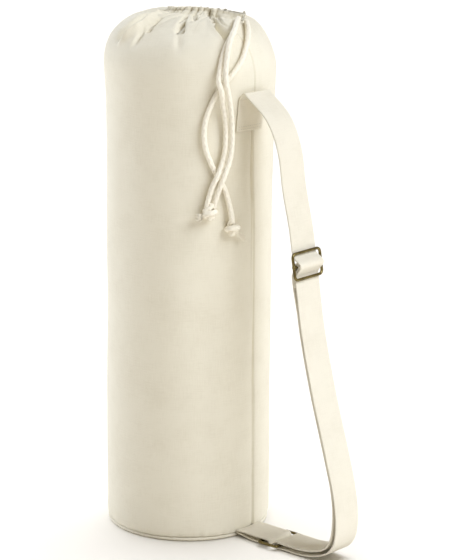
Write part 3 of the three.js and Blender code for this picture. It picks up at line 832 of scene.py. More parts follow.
# The side seam: height and how far it lies along Y, in millimetres
SEAM = [(0, 10), (60, 10), (150, 8), (275, 5), (400, 2), (498, -2), (566, 0), (600, -4),
        (625, -9)]
# Heights in millimetres: the seam comes out of the gathers from SEAM_TOP down, the strap's anchor
# ends at SEAM_OPEN, and the seam's line closes from SEAM_SHUT down
SEAM_TOP = 636
SEAM_OPEN = 560
SEAM_SHUT = 300
COLUMNS = 540
FINE_ROWS = 132
COARSE_ROWS = 34
INNER_ROWS = [14, 13.2, 12.4, 11.6, 10.8, 10, 9, 8, 7, 6, 5, 3.3, 1.7, 0.0]
# The sewn line of the casing: its row, its depth in millimetres and its width in rows
HEM_ROW = 11.55
CASING_DEEP = 2.0
CASING_WIDE = 0.25


# Fine creases: their spacing and how far each one reaches aside in degrees, the row of the casing
# that they start from, and how many rows down they widen
PLEAT_SPACING = 9
PLEAT_ASIDE = 24
PLEAT_TOP = 11.5
PLEAT_FALL = 6
# Height of the tube's unevenness and of the puckers at the base's seam, how many waves make up
# each, and how far up the puckers reach
SLACK_HEIGHT = 0.55 * MM
SLACK_WAVES = 22
SEWN_HEIGHT = 0.09 * MM
SEWN_WAVES = 16
SEWN_REACH = 9 * MM
# The row above which gathers and creases are worked out
GATHERED_FROM = 5
# Points round the folded rim, and where the inside's weave starts in metres
RIM_FOLD = 3
INSIDE_WEAVE = 0.7


def column(key):
    return [section[key] for section in SECTIONS]


def plain_skin(turn, row):
    """The drawn form without gathers. turn is in degrees from the mouth's bearing."""
    cloth = settings("cloth")
    turn, row = np.broadcast_arrays(np.asarray(turn, float), np.asarray(row, float))
    rise = through(column("rise"), row)
    radius = through(column("round"), row) * cloth.body_radius
    draw = through(column("draw"), row)
    angle = np.radians(turn)
    ahead = 0.5 + 0.5 * np.cos(angle)
    half = cloth.mouth_width / 2 * (1 - cloth.mouth_taper * ahead)
    rim = smooth((row - LEAN_ROW) / (TOP_ROW - LEAN_ROW))
    half = half * (1 - cloth.mouth_lean * rim * smooth(np.sin(angle) * 1.6))
    long = radius + (cloth.mouth_length / 2 - radius) * draw
    across = radius + (half - radius) * draw
    x = cloth.mouth_shift * draw + long * np.cos(angle)
    y = across * np.sin(angle)
    z = CLOTH_FOOT + rise * (CLOTH_TOP - CLOTH_FOOT) - cloth.mouth_dip * draw * ahead ** 3
    cb, sb = math.cos(cloth.mouth_bearing), math.sin(cloth.mouth_bearing)
    return np.stack([x * cb - y * sb, x * sb + y * cb, z], -1)


def lift(turn, row):
    """Height over the plain form, smooth between the table's values."""
    count = len(LIFT_TURNS)
    step = 360 / count
    place = (turn + 180) / step
    base = np.floor(place).astype(int)
    t = place - base
    level = np.clip(row - LIFT_ROW, 0, TOP_ROW - LIFT_ROW)
    heights = np.stack([through([line[k] for line in LIFTS], level) for k in range(count)])
    index = np.indices(base.shape)
    a, b, c, d = (heights[((base + k) % count, *index)] for k in (-1, 0, 1, 2))
    return MM * (b + 0.5 * (c - a) * t + (a - 2.5 * b + 2 * c - 0.5 * d) * t ** 2
                 + (1.5 * (b - c) + 0.5 * (d - a)) * t ** 3)


def form(turn, row):
    """The drawn form with its uneven crown."""
    turn, row = np.broadcast_arrays(np.asarray(turn, float), np.asarray(row, float))
    points = plain_skin(turn, row)
    points[..., 2] += lift(turn, row)
    return points


def skin_normals(turn, row):
    around = form(turn + 0.5, row) - form(turn - 0.5, row)
    above = form(turn, np.minimum(row + 0.05, TOP_ROW))
    below = form(turn, np.maximum(row - 0.05, 0))
    return unit(np.cross(around, above - below))


def beside_line(points, normals, line):
    """Distance to a line on the skin, above zero to its right, and the share along it."""
    turns, rows = np.array(line, float).T
    count = 8 * (len(line) - 1) + 1
    steps = np.linspace(0, len(line) - 1, count)
    path = form(through(turns, steps), through(rows, steps))
    best = np.full(len(points), np.inf)
    sign = np.ones(len(points))
    share = np.zeros(len(points))
    for i in range(count - 1):
        start, run = path[i], path[i + 1] - path[i]
        t = np.clip((points - start) @ run / (run @ run), 0, 1)
        offset = points - start - t[:, None] * run
        distance = np.linalg.norm(offset, axis=1)
        nearer = distance < best
        side = np.einsum("ij,ij->i", np.cross(normals, run), offset)
        best[nearer] = distance[nearer]
        sign[nearer] = np.where(side[nearer] < 0, -1, 1)
        share[nearer] = (i + t[nearer]) / (count - 1)
    return best * sign, share


def gather_relief(points, normals, gather):
    aside, share = beside_line(points, normals, gather["line"])
    reach = np.where(aside < 0, gather["left"], gather["right"]) * MM
    reach = reach * (gather["narrow"] + (1 - gather["narrow"]) * share)
    come = smooth(share / gather["start"] + 0.05)
    go = smooth((1 - share) / gather["stop"] + 0.02)
    across = np.exp(-np.abs(aside / reach) ** gather["wall"])
    return gather["depth"] * MM * come * go * across


def pleat_relief(turn, row):
    """Fine creases that run down from the sewn casing and die out on the dome."""
    random = np.random.default_rng(21)
    total = np.zeros(len(row))
    turns = np.arange(-180, 180, PLEAT_SPACING)
    turns = turns + random.uniform(-3, 3, len(turns))
    for middle in turns:
        end, lean = random.uniform(7.4, 9.8), random.uniform(-3, 3)
        depth, wide = random.uniform(0.8, 2.4), random.uniform(1.6, 3.4)
        aside = (turn - middle - lean * (PLEAT_TOP - row) + 540) % 360 - 180
        near = np.abs(aside) < PLEAT_ASIDE
        fall = np.clip(PLEAT_TOP - row[near], 0, PLEAT_FALL)
        across = np.radians(aside[near]) * (30 + 14 * fall)
        fade = smooth((row[near] - end) / (11.8 - end)) * smooth((13 - row[near]) / 1.2)
        total[near] -= depth * fade * np.exp(-np.abs(across / wide) ** 1.6)
    return total * MM


def swell_relief(turn, row, points, swell):
    middle = form(swell["turn"], swell["row"])
    aside = (turn - swell["turn"] + 540) % 360 - 180
    across = np.radians(aside) * settings("cloth").body_radius / (swell["wide"] * MM)
    up = (points[:, 2] - middle[2]) / (swell["tall"] * MM)
    return swell["depth"] * MM * np.exp(-across ** 2 - up ** 2)


def exit_relief(points, normals):
    """The folded edge stands a little proud, and the cloth behind it drops into a hollow."""
    aside, share = beside_line(points, normals, EXIT_EDGE)
    ends = smooth(share / 0.25) * smooth((1 - share) / 0.22)
    edge = EXIT_PROUD * MM * np.exp(-(aside / (3.5 * MM)) ** 2) * (aside < 0.3 * MM)
    wide = EXIT_WIDE * MM * (0.35 + 0.65 * share)
    drop = EXIT_DEEP * MM * np.exp(-(np.maximum(aside, 0) / wide) ** 3.5)
    step = smooth((aside + 0.1 * MM) / (1.0 * MM))
    return ends * (edge * (1 - step) - drop * step)


def seam_relief(points):
    """The side seam: cloth dips towards it, and past its line stands up as a turned edge."""
    heights, offsets = np.array(SEAM, float).T * MM
    aside = points[:, 1] - np.interp(points[:, 2], heights, offsets)
    on = (points[:, 0] > 0) * smooth((SEAM_TOP * MM - points[:, 2]) / (14 * MM))
    below = smooth((SEAM_OPEN * MM - points[:, 2]) / (40 * MM))
    dip = (-0.5 - 2.1 * below) * MM * np.exp(-np.abs(aside) / (7.5 * MM))
    turned = (0.1 + 0.3 * below) * MM * np.exp(-np.abs(aside) / (9 * MM))
    step = smooth(aside / (0.8 * MM) + 0.5)
    parted = 0.2 + 0.8 * smooth(1 - (SEAM_SHUT * MM - points[:, 2]) / (110 * MM))
    groove = (-1.2 - 4.2 * below) * parted * MM * np.exp(-(aside / (1.3 * MM)) ** 2)
    return on * (dip * (1 - step) + turned * step + groove)


def ruffle_relief(turn, row):
    """Small pleats of the drawn hem, each of its own height, and few at the cord's exits."""
    cloth = settings("cloth")
    random = np.random.default_rng(11)
    count = cloth.ruffle_count
    turns = np.linspace(-180, 180, count, endpoint=False) + random.uniform(-2.2, 2.2, count)
    heights = random.uniform(0.65, 1.25, count)
    around = np.r_[turns - 360, turns, turns + 360]
    phase = np.interp(turn, around, np.arange(3 * count) - count)
    height = np.interp(turn, around, np.tile(heights, 3))
    wave = np.abs(np.cos(math.pi * phase)) ** 0.55 * 2 - 1.2
    fullness = 0.5 + 0.5 * np.sin(np.radians(turn) / 2) ** 2
    fullness *= 1 - 0.85 * smooth((turn + 78) / 14) * smooth((70 - turn) / 30)
    strength = through(column("ruffle"), row)
    return cloth.ruffle_depth * strength * fullness * height * wave


def hem_relief(row):
    """The sewn line of the cord's casing draws the cloth in."""
    return -CASING_DEEP * MM * np.exp(-((row - HEM_ROW) / CASING_WIDE) ** 2)


def slack_relief(points):
    """Faint unevenness of soft cloth over the tube."""
    random = np.random.default_rng(4)
    bearing = np.arctan2(points[:, 1], points[:, 0])
    total = np.zeros(len(points))
    for _ in range(SLACK_WAVES):
        waves = random.integers(2, 11)
        tall = random.uniform(0.10, 0.55)
        phase, lean = random.uniform(0, 2 * math.pi, 2)
        along = np.sin(points[:, 2] / tall * 2 * math.pi + lean)
        total += np.sin(waves * bearing + phase) * along / waves
    return SLACK_HEIGHT * total


def base_relief(points):
    """Little puckers where the cloth is sewn to the base."""
    random = np.random.default_rng(7)
    bearing = np.arctan2(points[:, 1], points[:, 0])
    total = np.zeros(len(points))
    for _ in range(SEWN_WAVES):
        waves = random.integers(18, 70)
        total += np.sin(waves * bearing + random.uniform(0, 2 * math.pi))
    return SEWN_HEIGHT * total * np.exp(-((points[:, 2] - CLOTH_FOOT) / SEWN_REACH))


def outer_skin(turn, row):
    points = form(turn, row)
    normals = skin_normals(turn, row)
    shape = points.shape
    flat, sides = points.reshape(-1, 3), normals.reshape(-1, 3)
    turns = np.broadcast_to(turn, shape[:2]).ravel()
    rows = np.broadcast_to(row, shape[:2]).ravel()
    relief = slack_relief(flat) + base_relief(flat) + ruffle_relief(turns, rows) + hem_relief(rows)
    relief += seam_relief(flat)
    for swell in SWELLS:
        relief += swell_relief(turns, rows, flat, swell)
    high = rows > GATHERED_FROM
    relief[high] += pleat_relief(turns[high], rows[high])
    for gather in GATHERS:
        relief[high] += gather_relief(flat[high], sides[high], gather)
    relief[high] += exit_relief(flat[high], sides[high])
    return points + normals * relief.reshape(shape[:2])[..., None], normals


def column_turns():
    """Turns of the grid's columns, closer at the seam and where the front is gathered."""
    fine = np.linspace(-180, 180, 7201)
    density = 1 + 2.2 * np.exp(-((fine + 21) / 5) ** 2) + 0.7 * np.exp(-((fine + 75) / 45) ** 4)
    grown = np.r_[0, np.cumsum((density[1:] + density[:-1]) / 2)]
    return np.interp(np.arange(COLUMNS) / COLUMNS, grown / grown[-1], fine)


def make_body_cloth():
    """The cloth tube: its outside, the folded rim, and the inside down to the base again."""
    cloth = settings("cloth")
    turn = column_turns()[None, :]
    coarse = np.concatenate([np.linspace(0, 1, 7),
                             np.linspace(1, GATHERED_FROM, COARSE_ROWS - 6)[1:]])
    fine = np.linspace(GATHERED_FROM, TOP_ROW, FINE_ROWS)[1:]
    rows = np.concatenate([coarse, fine])[:, None]
    outside, normals = outer_skin(turn, rows)
    rim, rim_normals = outside[-1], normals[-1]
    rim_up = unit(outside[-1] - outside[-3])
    fold = []
    for k in range(1, RIM_FOLD + 1):
        angle = math.pi * k / (RIM_FOLD + 1)
        fold.append(rim - rim_normals * cloth.wall / 2 * (1 - math.cos(angle))
                    + rim_up * cloth.wall / 2 * math.sin(angle))
    inside, inside_normals = outer_skin(turn, np.array(INNER_ROWS)[:, None])
    inside = inside - inside_normals * cloth.wall
    grid = np.concatenate([outside, np.stack(fold), inside])
    around = turn * np.pi / 180 * cloth.body_radius
    lengths = np.concatenate([outside[:, 0, 2], rim[0, 2] + MM * np.arange(1, RIM_FOLD + 1),
                              INSIDE_WEAVE + inside[::-1, 0, 2]])
    uv = np.stack(np.broadcast_arrays(around, lengths[:, None]), -1).reshape(-1, 2)
    faces = grid_faces(len(grid), COLUMNS, close_rows=True)
    make_solid("gathered_body", (grid.reshape(-1, 3), faces, uv), "unbleached_cotton",
               "cotton_cloth", "body_cloth")


# Base

PIPING_STEPS = 720
PIPING_SIDES = 24
PUCKER_DEPTH = 0.045 * MM
# Room between the piping and the floor
FLOOR_GAP = 0.05 * MM
PANEL_RINGS = 26
PANEL_SIDES = 96
# How far the base panel's two faces are slack, and the lower one's room over the CAD piece's
PANEL_SLACK = 0.25 * MM
PANEL_GAP = 0.02 * MM
# How often each of the piping's puckers comes round the base
PUCKER_WAVES = (31, 47, 73, 95, 118, 151)


def make_base():
    half = (PIPING_HIGH.z - PIPING_LOW.z) / 2
    radius = PIPING_HIGH.x - half
    random = np.random.default_rng(3)
    phases = random.uniform(0, 2 * math.pi, len(PUCKER_WAVES))

    def puckers(side, along):
        turns = along / radius
        wave = sum(np.sin(k * turns + p) for k, p in zip(PUCKER_WAVES, phases))
        return PUCKER_DEPTH * wave * (1 + 0.5 * np.cos(side))

    path = circle(radius, PIPING_STEPS, half)
    piping = tube(path, half, PIPING_SIDES, closed=True, relief=puckers)
    piping[0][:, 2] = np.maximum(piping[0][:, 2], FLOOR_GAP)
    make_solid("piped_seam", piping, "unbleached_cotton", "cotton_cloth", "base_piping")
    make_base_panel()


def make_base_panel():
    """The round bottom, slightly slack, with its edge turned up into the piping."""
    shares = np.sin(np.linspace(0, math.pi / 2, PANEL_RINGS))[1:]
    around = np.linspace(0, 2 * math.pi, PANEL_SIDES, endpoint=False)
    slack = PANEL_SLACK * np.outer(np.sin(np.pi * shares) ** 2, 1 + 0.5 * np.cos(5 * around))
    lower, upper = (np.stack([np.outer(shares * PANEL_HIGH.x, np.cos(around)),
                              np.outer(shares * PANEL_HIGH.x, np.sin(around)), heights], -1)
                    for heights in (PANEL_LOW.z + PANEL_GAP + slack, PANEL_HIGH.z - slack))
    grid = np.concatenate([lower, upper[::-1]])
    corners = np.vstack([grid.reshape(-1, 3), [[0, 0, PANEL_LOW.z], [0, 0, PANEL_HIGH.z]]])
    faces = grid_faces(len(grid), PANEL_SIDES) + cap_faces(
        len(corners) - 2, len(corners) - 1, (len(grid) - 1) * PANEL_SIDES, PANEL_SIDES)
    make_solid("base_panel_cloth", (corners, faces, corners[:, :2]), "unbleached_cotton",
               "cotton_cloth", "base_panel")


# Strap

# out: share of the strap's reach from the body; up: share of the fold's height
RUN_BELOW_SLIDER = table("out up",
    (0.415, 0.000), (0.530, 0.000), (0.650, 0.000), (0.800, 0.006), (0.935, 0.022), (1.008, 0.054),
    (1.018, 0.105), (0.982, 0.165), (0.905, 0.240), (0.755, 0.375), (0.640, 0.500))
RUN_ABOVE_SLIDER = table("out up",
    (0.500, 0.725), (0.435, 0.805), (0.400, 0.872), (0.340, 0.922), (0.255, 0.958))
# The fold over the sewn anchor. out and down: shares of the fold's width.
FOLD_OVER = table("out down",
    (1.00, 0.35), (0.45, 0.00), (0.00, 0.60))
# How far the webbing bulges over the slider's bar
HUMP_PROUD = 1.4 * MM
LAYER_GAP = 0.3 * MM
SEWN_GAP = 0.5 * MM
BEND_END = 0.42
SEWN_END_START = 0.9
FINE = 6


def on_run(row):
    strap = settings("strap")
    level = strap.floor_gap + strap.thickness / 2
    return np.array([settings("cloth").body_radius + row["out"] * strap.reach,
                     level + row["up"] * (strap.fold_height - level)])


def outward(tangent):
    return np.stack([tangent[..., 1], -tangent[..., 0]], -1)


class SliderPlace:
    """Where the slider sits: its middle, the strap's direction there and the outward side."""

    def __init__(self):
        strap, fittings = settings("strap"), settings("fittings")
        below, above = on_run(RUN_BELOW_SLIDER[-1]), on_run(RUN_ABOVE_SLIDER[0])
        self.up = unit(above - below)
        self.out = outward(self.up)
        share = (strap.slider_height - below[1]) / (above[1] - below[1])
        self.rise = fittings.slider_wire / 2 + fittings.thread_gap + strap.thickness / 2
        self.middle = below + (above - below) * share + self.out * self.rise

    def at(self, along, out):
        return self.middle + self.up * along + self.out * out


def shifted(points, shift):
    """Moves each station to its outward side by what shift gives for its share."""
    points = np.asarray(points)
    side = outward(unit(np.gradient(points, axis=0)))
    shares = np.linspace(0, 1, len(points))
    return points + side * np.array([shift(s) for s in shares])[:, None]


def half_turn(start, end, steps):
    middle = (start + end) / 2
    arm = start - middle
    turns = math.pi * np.arange(1, steps) / steps
    return middle + np.stack([arm[0] * np.cos(turns) - arm[1] * np.sin(turns),
                              arm[0] * np.sin(turns) + arm[1] * np.cos(turns)], 1)


def cloth_radius_at(height):
    """Radius of the plain cloth at a height where the tube is round."""
    rows = np.linspace(0, 8, 400)
    points = plain_skin(0.0, rows)
    return float(np.interp(height, points[:, 2], np.hypot(points[:, 0], points[:, 1])))


def anchor_out(height):
    return cloth_radius_at(height) + SEWN_GAP + settings("strap").thickness / 2


def strap_route():
    """The strap in the upright plane of the seam, from the end sewn round the slider's bar,
    down to the ring, back up over the bar, and on to the anchor."""
    strap, fittings = settings("strap"), settings("fittings")
    place = SliderPlace()
    pitch = strap.thickness + LAYER_GAP

    def passing(along):
        half = fittings.slider_length / 2 - fittings.slider_wire - fittings.thread_gap
        hump = math.cos(math.pi * along / (2 * half)) ** 2 if abs(along) < half else 0
        return place.at(along, (2 * place.rise + pitch + HUMP_PROUD) * hump - place.rise)

    def layer_shift(share):
        behind = smooth((share - SEWN_END_START) / (1 - SEWN_END_START))
        bend = smooth((BEND_END - share) / (BEND_END / 2))
        return -pitch * (1 + behind) - strap.bend_slack * bend

    reach = fittings.slider_length / 2 + pitch
    steps = 16 * FINE
    over = np.array([passing(reach * (2 * i / steps - 1)) for i in range(steps + 1)])
    below = spline([on_run(row) for row in RUN_BELOW_SLIDER] + [over[0]], 28 * FINE + 1)
    foot = np.linspace(passing(-strap.sewn_end), passing(-reach - pitch), 2 * FINE)
    lower = over[:steps // 2 + 1]
    sewn_end = shifted(np.vstack([foot, lower]), lambda share: -pitch)
    bar = half_turn(place.at(0, place.rise), place.at(0, -place.rise), 6 * FINE)
    behind = shifted(lower, lambda share: -2 * pitch)[::-1]
    depth = (behind - place.middle) @ place.out
    behind = behind + place.out * np.minimum(0, -place.rise - depth)[:, None]
    inner = shifted(below[:-1], layer_shift)[::-1]
    ring_turn = half_turn(inner[-1], below[0], 6 * FINE)
    fold = [np.array([anchor_out(strap.fold_height - row["down"] * strap.fold_width)
                      + row["out"] * strap.fold_width,
                      strap.fold_height - row["down"] * strap.fold_width]) for row in FOLD_OVER]
    above = spline([over[-1]] + [on_run(row) for row in RUN_ABOVE_SLIDER] + fold,
                   26 * FINE + 1)[1:]
    heights = np.linspace(fold[-1][1], strap.fold_height - strap.anchor_length, 8 * FINE)[1:]
    anchor = np.array([(anchor_out(height), height) for height in heights])
    return np.vstack([sewn_end, bar, behind, inner, ring_turn, below, over[1:], above, anchor])


def web_section(width, thickness, columns):
    """Half turns at the two selvedges, flat between: offsets across and outwards."""
    half = thickness / 2
    across = np.linspace(-width / 2 + half, width / 2 - half, columns)
    arc = np.linspace(0, math.pi, 7)[1:-1]
    right = np.stack([width / 2 - half + half * np.sin(arc), half * np.cos(arc)], 1)
    left = np.stack([-width / 2 + half - half * np.sin(arc), -half * np.cos(arc)], 1)
    front = np.stack([across, np.full(columns, half)], 1)
    back = np.stack([across[::-1], np.full(columns, -half)], 1)
    return np.vstack([front, right, back, left])


def web(route, bend, drift, columns=13, seed=1):
    """Corners, faces and UV of a band along a route in the XZ plane."""
    strap = settings("strap")
    random = np.random.default_rng(seed)
    section = web_section(strap.width, strap.thickness, columns)
    side = outward(unit(np.gradient(route, axis=0)))
    travelled = distances(route)
    sway = sum(np.sin(travelled / w + p) for w, p in zip((0.021, 0.037, 0.053),
                                                        random.uniform(0, 6.28, 3)))
    y = section[None, :, 0] * (1 + 0.003 * sway[:, None]) + drift[:, None]
    angle = np.arcsin(np.clip(y / route[:, :1], -1, 1)) * bend[:, None]
    x = route[:, :1] - bend[:, None] * (route[:, :1] - np.sqrt(route[:, :1] ** 2 - y ** 2))
    out = section[None, :, 1]
    rings = np.stack([
        x + out * side[:, :1] * np.cos(angle),
        y + out * side[:, :1] * np.sin(angle),
        np.broadcast_to(route[:, 1:], y.shape) + out * side[:, 1:],
    ], -1)
    count = len(section)
    corners = rings.reshape(-1, 3)
    last = len(corners)
    faces = grid_faces(len(route), count) + cap_faces(last, last + 1, last - count, count)
    ends = np.stack([rings[0].mean(0), rings[-1].mean(0)])
    u = np.broadcast_to(section[None, :, 0] + 0.05 * np.sign(section[None, :, 1]), y.shape)
    uv = np.stack([u, np.broadcast_to(travelled[:, None], u.shape)], -1).reshape(-1, 2)
    uv = np.vstack([uv, [[0, 0], [0, travelled[-1]]]])
    return np.vstack([corners, ends]), faces, uv


def strap_shape():
    """The strap's route with its bend round the body and its drift along Y at each station."""
    strap = settings("strap")
    route = strap_route()
    crest = int(np.argmax(route[:, 1]))
    gone = np.linalg.norm(route - route[crest], axis=1)
    bend = smooth(1 - gone / (2 * strap.width))
    bend[crest:] = 1
    fallen = (strap.fold_height - route[:, 1]) / strap.anchor_length
    gathered = strap.fold_drift * smooth(1 - gone / (5 * strap.width))
    gathered[:int(len(route) * 0.5)] = 0
    gathered[crest:] = strap.fold_drift
    drift = -gathered - np.where(np.arange(len(route)) <= crest, 0, strap.anchor_slant * fallen)
    return route, bend, drift


def make_strap():
    make_solid("webbing_strap", web(*strap_shape(), seed=2), "webbing_weave", "cotton_webbing",
               "shoulder_strap")


# Shares of the tab's reach at which it leaves the seam and lies level
TAB_LEAVES = 0.2
TAB_LEVEL = 0.45


def tab_route():
    """The tab in the seam's upright plane: out from the base seam, round the ring and back."""
    strap, fittings = settings("strap"), settings("fittings")
    pitch = strap.thickness + LAYER_GAP
    level = ring_level()
    rise = fittings.ring_wire / 2 + LAYER_GAP + strap.thickness / 2
    low, high = level - rise, level + rise
    seam = CLOTH_FOOT + strap.thickness / 2
    start = cloth_radius_at(seam + pitch) + SEWN_GAP
    turn = settings("cloth").body_radius + strap.tab_reach - rise
    near, far = (start + strap.tab_reach * share for share in (TAB_LEAVES, TAB_LEVEL))
    lower = spline([(start, seam - pitch / 2), (near, (seam + low) / 2), (far, low),
                    (turn, low)], 8 * FINE)
    upper = spline([(turn, high), (far, high), (near, (seam + high) / 2 + pitch / 2),
                    (start, seam + pitch / 2)], 8 * FINE)
    route = np.vstack([lower, half_turn(lower[-1], upper[0], 6 * FINE), upper])
    bend = smooth(1 - (route[:, 0] - start) / (strap.tab_reach * 0.6))
    return route, bend, np.zeros(len(route))


def make_tab():
    make_solid("webbing_tab", web(*tab_route(), seed=5), "webbing_weave", "cotton_webbing",
               "ring_tab")


# Fittings

WIRE_STEPS = 200
WIRE_SIDES = 20
CORNER_POINTS = 11
BAR_RINGS = 14
# Half the length of the bar's curled ends, in wires
CURL_HALF = 0.6


def ring_level():
    strap = settings("strap")
    return strap.floor_gap + strap.thickness + LAYER_GAP + settings("fittings").ring_wire / 2


def wire_frame(width, length, corner, wire):
    """A bent wire rectangle in its own XY plane."""
    radius = corner - wire / 2
    x, y = (width - wire) / 2 - radius, (length - wire) / 2 - radius
    path = []
    for cx, cy, start in ((x, y, 0), (-x, y, 90), (-x, -y, 180), (x, -y, 270)):
        angles = np.radians(start + np.linspace(0, 90, CORNER_POINTS))
        path.append(np.stack([cx + radius * np.cos(angles), cy + radius * np.sin(angles),
                              np.zeros(CORNER_POINTS)], 1))
    closed = np.vstack(path + [path[0][:1]])
    return tube(even(closed, WIRE_STEPS + 1)[:-1], wire / 2, WIRE_SIDES, closed=True)


def straight(start, end, radius):
    return tube(np.linspace(start, end, BAR_RINGS), radius, WIRE_SIDES)


def placed(part, basis, middle):
    corners, faces, uv = part
    return corners @ np.asarray(basis) + middle, faces, uv


def make_fittings():
    strap, fittings = settings("strap"), settings("fittings")
    place = SliderPlace()
    wire = fittings.slider_wire
    width = strap.width + 2 * (fittings.slider_room + wire)
    side = (width - wire) / 2
    curl = wire / 2 + fittings.thread_gap - LAYER_GAP
    parts = [wire_frame(width, fittings.slider_length, fittings.slider_corner, wire),
             straight((-side, 0, 0), (side, 0, 0), wire / 2)]
    for end in (-side, side):
        parts.append(straight((end, -wire * CURL_HALF, 0), (end, wire * CURL_HALF, 0), curl))
    basis = [(0, 1, 0), (place.up[0], 0, place.up[1]), (place.out[0], 0, place.out[1])]
    middle = np.array([place.middle[0], 0, place.middle[1]])
    make_solid("brass_slider", placed(joined(parts), basis, middle), "worn_brass", "aged_brass",
               "strap_slider")
    width = strap.width + 2 * (fittings.ring_room + fittings.ring_wire)
    ring = wire_frame(width, fittings.ring_length, fittings.ring_corner, fittings.ring_wire)
    near = settings("cloth").body_radius + fittings.ring_distance
    centre = np.array([near + fittings.ring_length / 2, 0, ring_level()])
    make_solid("brass_ring", placed(ring, [(0, 1, 0), (-1, 0, 0), (0, 0, 1)], centre),
               "worn_brass", "aged_brass", "lower_ring")


# Stitches

LINE_POINTS = 30
# How far the thread's middle lies over the webbing and over the casing
WEB_PROUD = 0.1 * MM
CASING_PROUD = 0.15 * MM
STITCH_INPUTS = {
    "Line": "NodeSocketGeometry", "Pitch": "NodeSocketFloat", "Length": "NodeSocketFloat",
    "Radius": "NodeSocketFloat", "Seed": "NodeSocketInt", "Thread": "NodeSocketMaterial",
}
# Half a stitch's length as a share of the whole, from the shortest to the longest
STITCH_HALVES = (0.42, 0.56)


def stitch_tree():
    """Stitches along a line: short rounded threads, evenly spaced, a little uneven in length."""
    tree = bpy.data.node_groups.new("stitch_row", "GeometryNodeTree")
    for name, kind in STITCH_INPUTS.items():
        tree.interface.new_socket(name, in_out="INPUT", socket_type=kind)
    tree.interface.new_socket("Stitches", in_out="OUTPUT", socket_type="NodeSocketGeometry")

    def add(kind, inputs=None, output=0, **values):
        return add_node(tree, kind, inputs, **values).outputs[output]

    given = add_node(tree, "NodeGroupInput").outputs
    curve = add("GeometryNodeMeshToCurve", {0: given["Line"]})
    places = add("GeometryNodeResampleCurve", {"Curve": curve, "Length": given["Pitch"]},
                 mode="LENGTH")
    thread = add("GeometryNodeMeshIcoSphere", {"Radius": 1, "Subdivisions": 2}, "Mesh")
    turn = add("FunctionNodeAlignEulerToVector",
               {"Vector": add("GeometryNodeInputTangent")}, axis="X")
    uneven = add("FunctionNodeRandomValue", {
        "Min": STITCH_HALVES[0], "Max": STITCH_HALVES[1], "Seed": given["Seed"]}, "Value")
    half = add("ShaderNodeMath", {0: uneven, 1: given["Length"]}, operation="MULTIPLY")
    size = add("ShaderNodeCombineXYZ", {
        "X": half, "Y": given["Radius"], "Z": given["Radius"]})
    stitches = add("GeometryNodeInstanceOnPoints", {
        "Points": places, "Instance": thread, "Rotation": turn, "Scale": size})
    whole = add("GeometryNodeRealizeInstances", {0: stitches})
    rounded = add("GeometryNodeSetShadeSmooth", {0: whole})
    sewn = add("GeometryNodeSetMaterial", {"Geometry": rounded, "Material": given["Thread"]})
    add_node(tree, "NodeGroupOutput", {0: sewn})
    return tree


def sew(name, lines, slot):
    """A piece of stitches along lines of points."""
    stitch = settings("stitch")
    tree = bpy.data.node_groups.get("stitch_row") or stitch_tree()
    corners, edges = [], []
    for line in lines:
        start = len(corners)
        corners += [tuple(point) for point in line]
        edges += [(start + i, start + i + 1) for i in range(len(line) - 1)]
    mesh = bpy.data.meshes.new(name + "_line")
    mesh.from_pydata(corners, edges, [])
    line = bpy.data.objects.new(name + "_line", mesh)
    bpy.context.scene.collection.objects.link(line)
    modifier = line.modifiers.new("stitches", "NODES")
    modifier.node_group = tree
    values = {"Pitch": stitch.pitch, "Length": stitch.length, "Radius": stitch.radius, "Seed": 5,
              "Thread": finish("sewing_thread")}
    for item in tree.interface.items_tree:
        if item.in_out == "INPUT" and item.name in values:
            modifier[item.identifier] = values[item.name]
    ready = line.evaluated_get(bpy.context.evaluated_depsgraph_get())
    sewn = bpy.data.meshes.new_from_object(ready)
    bpy.data.objects.remove(line)
    piece = bpy.data.objects.new(name, sewn)
    bpy.context.scene.collection.objects.link(piece)
    return finish_piece(piece, slot)


def web_line(shape, index, side, inset=0.0035):
    """A line across a band at one station of its route, on its outer or inner face."""
    route, bend, drift = shape
    strap = settings("strap")
    across = np.linspace(-strap.width / 2 + inset, strap.width / 2 - inset, LINE_POINTS)
    y = across + drift[index]
    tangent = unit(np.gradient(route, axis=0))[index]
    out = side * (strap.thickness / 2 + WEB_PROUD)
    angle = np.arcsin(y / route[index, 0]) * bend[index]
    x = route[index, 0] - bend[index] * (route[index, 0] - np.sqrt(route[index, 0] ** 2 - y ** 2))
    return np.stack([x + out * tangent[1] * np.cos(angle), y + out * tangent[1] * np.sin(angle),
                     np.full(LINE_POINTS, route[index, 1] - out * tangent[0])], 1)


# Where stitches cross the strap and the tab: millimetres from the start, or below zero from the
# end
STRAP_STITCHES = (-3.0, -6.0, 3.0, 7.0)
TAB_STITCHES = (-4.0, -27.0)


def make_stitches():
    turns = np.linspace(-180, 180, 721)[None, :]
    hem, normals = outer_skin(turns, np.array([[HEM_ROW]]))
    sew("casing_stitches", [(hem + CASING_PROUD * normals)[0]], "cotton_cloth")
    lines = []
    for shape, rows in ((strap_shape(), STRAP_STITCHES), (tab_route(), TAB_STITCHES)):
        travelled = distances(shape[0])
        for row in rows:
            place = row * MM + (travelled[-1] if row < 0 else 0)
            lines.append(web_line(shape, int(np.searchsorted(travelled, place)), -1))
    sew("webbing_stitches", lines, "cotton_webbing")


# Operators

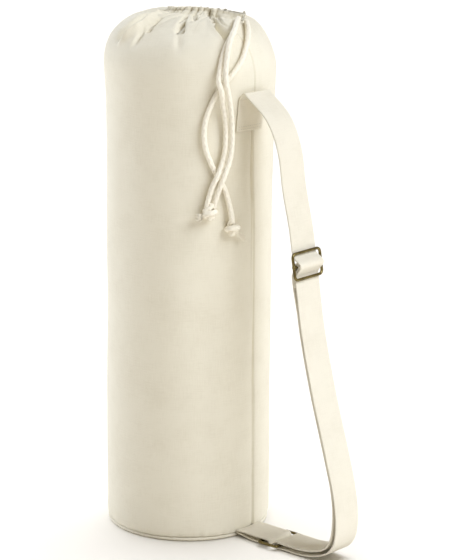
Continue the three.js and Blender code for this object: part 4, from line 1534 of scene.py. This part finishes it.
def operator(name, label, words, work):
    """An operator class that does one piece of work."""
    def execute(self, context):
        work()
        return {"FINISHED"}

    return type("MATBAG_OT_" + name, (bpy.types.Operator,), {
        "bl_idname": "matbag." + name, "bl_label": label, "__doc__": words, "execute": execute})


def make_stage():
    light_stage(make_floor())


OPERATORS = [
    operator("place_camera", "Camera", "Places the camera", place_camera),
    operator("make_cords", "Drawcord", "Makes the drawcord's strands and knots", make_cords),
    operator("make_body_cloth", "Body cloth", "Makes the gathered cloth tube", make_body_cloth),
    operator("make_base", "Base", "Makes the piping and the base panel", make_base),
    operator("make_strap", "Strap", "Makes the shoulder strap", make_strap),
    operator("make_tab", "Ring tab", "Makes the tab that holds the ring", make_tab),
    operator("make_fittings", "Fittings", "Makes the brass slider and ring", make_fittings),
    operator("make_stitches", "Stitches", "Sews the casing, the strap and the tab", make_stitches),
    operator("make_stage", "Stage", "Makes the floor and the lights", make_stage),
]


class MATBAG_PT_panel(bpy.types.Panel):
    """Lists what the bag is made of."""

    bl_label = "Mat Bag"
    bl_space_type = "VIEW_3D"
    bl_region_type = "UI"
    bl_category = "Mat Bag"

    def draw(self, context):
        for made in OPERATORS:
            self.layout.operator(made.bl_idname)
        for name in GROUPS:
            group = getattr(context.scene, name)
            box = self.layout.box()
            for key in group.__annotations__:
                box.prop(group, key)


def register():
    for name, group in GROUPS.items():
        bpy.utils.register_class(group)
        setattr(bpy.types.Scene, name, bpy.props.PointerProperty(type=group))
    for made in OPERATORS:
        bpy.utils.register_class(made)
    bpy.utils.register_class(MATBAG_PT_panel)


def unregister():
    bpy.utils.unregister_class(MATBAG_PT_panel)
    for made in reversed(OPERATORS):
        bpy.utils.unregister_class(made)
    for name, group in GROUPS.items():
        delattr(bpy.types.Scene, name)
        bpy.utils.unregister_class(group)


def main():
    register()
    bpy.context.scene.view_settings.view_transform = "Standard"
    for made in OPERATORS:
        getattr(bpy.ops.matbag, made.bl_idname.split(".")[1])()


if __name__ == "__main__":
    main()
